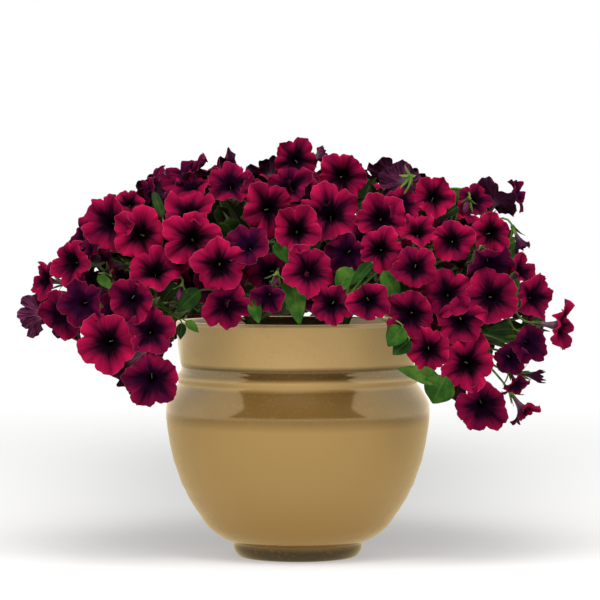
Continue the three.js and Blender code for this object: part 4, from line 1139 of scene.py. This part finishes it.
def makeFloor():
    # plain white paper with a little glow of its own, with painted shade behind the bowl, that fades into the
    # room
    look = studioLook
    mesh = bpy.data.meshes.new("studioFloor")
    size, count = look["floorRadius"], 64
    rim = [(size * math.cos(tau * i / count), size * math.sin(tau * i / count), 0) for i in range(count)]
    mesh.from_pydata(rim, [], [list(range(count))])
    material, tree = newMaterial("white studio paper")
    where = node(tree, "NewGeometry", wanted="Position")
    x, y, _ = node(tree, "SeparateXYZ", [where], "each")
    # painted shade on the floor behind the bowl: the paper is darkened and glows less where it falls
    aside = node(tree, "Math", [x, look["spread"]], operation="DIVIDE")
    squared = node(tree, "Math", [aside, aside], operation="MULTIPLY")
    negative = node(tree, "Math", [squared, -1], operation="MULTIPLY")
    across = node(tree, "Math", [negative], operation="EXPONENT")
    rise = node(tree, "MapRange", [y, look["shadeStart"], look["shadeFull"]], interpolation_type="SMOOTHSTEP")
    fall = node(tree, "MapRange", [y, look["shadeEnd"], look["shadeFalls"]], interpolation_type="SMOOTHSTEP")
    shade = look["shade"]
    for part in (across, rise, fall):
        shade = node(tree, "Math", [part, shade], operation="MULTIPLY")
    glow = node(tree, "MapRange", [shade, 0, 1, look["floorGlow"], 0])
    emitted = node(tree, "Emission", {"Color": (1, 1, 1, 1), "Strength": glow})
    albedo = look["floorAlbedo"]
    white = (albedo, albedo * 0.992, albedo * 0.98, 1)
    tint = node(tree, "Mix", [shade, white, (0, 0, 0, 1)], data_type="RGBA")
    paper = node(tree, "BsdfDiffuse", {"Color": tint})
    seen = node(tree, "AddShader", [emitted, paper])
    mirrored = node(tree, "Emission", {"Color": colour(look["reflected"]), "Strength": look["glossyFloor"]})
    forGlaze = node(tree, "LightPath", wanted="Is Glossy Ray")
    both = node(tree, "MixShader", [forGlaze, seen, mirrored])
    distance = node(tree, "VectorMath", [where], operation="LENGTH")
    fade = node(tree, "MapRange", [distance, look["fadeStart"], look["fadeEnd"]],
                interpolation_type="SMOOTHSTEP")
    clear = node(tree, "BsdfTransparent")
    node(tree, "OutputMaterial", [node(tree, "MixShader", [fade, both, clear])])
    mesh.materials.append(material)
    floor = bpy.data.objects.new("studioFloor", mesh)
    bpy.context.scene.collection.objects.link(floor)


def areaLight(name, place, aim, size, power):
    # a softbox that lights but isn't mirrored in the glaze
    light = bpy.data.lights.new(name, "AREA")
    light.shape, light.size, light.size_y = "RECTANGLE", size[0], size[1]
    light.energy = power
    lamp = bpy.data.objects.new(name, light)
    lamp.location = place
    lamp.visible_glossy = False
    lamp.rotation_euler = (Vector(aim) - Vector(place)).to_track_quat("-Z", "Y").to_euler()
    bpy.context.scene.collection.objects.link(lamp)


def makeWorld():
    # a white room, dark behind the camera and overhead only in what the bowl's glaze reflects
    look = studioLook
    world = bpy.data.worlds.new("white room")
    bpy.context.scene.world = world
    world.use_nodes = True
    tree = world.node_tree
    tree.nodes.clear()
    way = node(tree, "TexCoord", wanted="Generated")
    x, y, z = node(tree, "SeparateXYZ", [way], "each")
    forGlaze = node(tree, "LightPath", wanted="Is Glossy Ray")
    forLight = node(tree, "LightPath", wanted="Is Diffuse Ray")
    half = node(tree, "Math", [z, -look["darkNarrows"], look["darkHalf"]], operation="MULTIPLY_ADD")
    aside = node(tree, "Math", [x], operation="ABSOLUTE")
    inside = node(tree, "Math", [half, aside], operation="SUBTRACT")
    between = node(tree, "MapRange", [inside, -0.012, 0.012], interpolation_type="SMOOTHSTEP")
    above = node(tree, "MapRange", [z, look["darkFrom"], look["darkFrom"] + 0.04],
                 interpolation_type="SMOOTHSTEP")
    before = node(tree, "MapRange", [y, look["darkTo"] + 0.05, look["darkTo"]],
                  interpolation_type="SMOOTHSTEP")
    dark = forGlaze
    for part in (between, above, before):
        dark = node(tree, "Math", [dark, part], operation="MULTIPLY")
    # the white paper behind the bowl is dimmer and less warm than the lit front of the room
    behind = node(tree, "MapRange", [y, 0, 0.7], interpolation_type="SMOOTHSTEP")
    mirrored = node(tree, "Mix", [behind, colour(look["reflected"]), colour(look["reflectedBack"])],
                    data_type="RGBA")
    warm = node(tree, "Mix", [forGlaze, (1, 1, 1, 1), mirrored], data_type="RGBA")
    tint = node(tree, "Mix", [dark, warm, (0.02, 0.015, 0.01, 1)], data_type="RGBA")
    # strengths over that of the plain room, which the camera sees at 1
    glossy = node(tree, "MapRange", [behind, 0, 1, look["glossy"] - 1, look["glossyBack"] - 1])
    glossy = node(tree, "Math", [glossy, forGlaze, 1], operation="MULTIPLY_ADD")
    strength = node(tree, "Math", [forLight, look["diffuse"] - 1, glossy], operation="MULTIPLY_ADD")
    background = node(tree, "Background", [tint, strength])
    node(tree, "OutputWorld", [background])


def makeCamera():
    view = viewOfPhoto
    camera = bpy.data.objects.new("camera", bpy.data.cameras.new("camera"))
    bpy.context.scene.collection.objects.link(camera)
    focal = view["distance"] / view["pixel"]  # in pixels
    camera.data.sensor_width = 36
    camera.data.lens = focal * 36 / view["frame"]
    camera.location = (0, -view["distance"] * mm, view["eye"] * mm)
    down = (view["frame"] / 2 - view["horizon"]) / focal
    across = (view["frame"] / 2 - view["column"]) / focal
    camera.rotation_euler = Vector((across, 1, -down)).to_track_quat("-Z", "Y").to_euler()
    camera.data.clip_end = 50
    bpy.context.scene.camera = camera


def makeStudio():
    makeFloor()
    makeWorld()
    areaLight("overhead softbox", (0, -1.2, 2.2), (0, 0, 0.3), (1.3, 1.0), 38)
    areaLight("left softbox", (-2.2, -1.6, 1.0), (0, 0, 0.3), (1.0, 1.6), 10)
    areaLight("right softbox", (2.3, -1.4, 0.9), (0, 0, 0.3), (1.0, 1.6), 9)
    view = bpy.context.scene.view_settings
    view.view_transform = "Standard"
    view.look = "None"
    makeCamera()


print("studio")
makeStudio()
print("bowl and soil")
makeBowl()
makeSoil()
print("blooms")
outerBlooms = listBlooms()
innerBlooms = listHidden(outerBlooms)
makeBlooms(outerBlooms, innerBlooms)
print("plants")
makePlants(outerBlooms + innerBlooms)
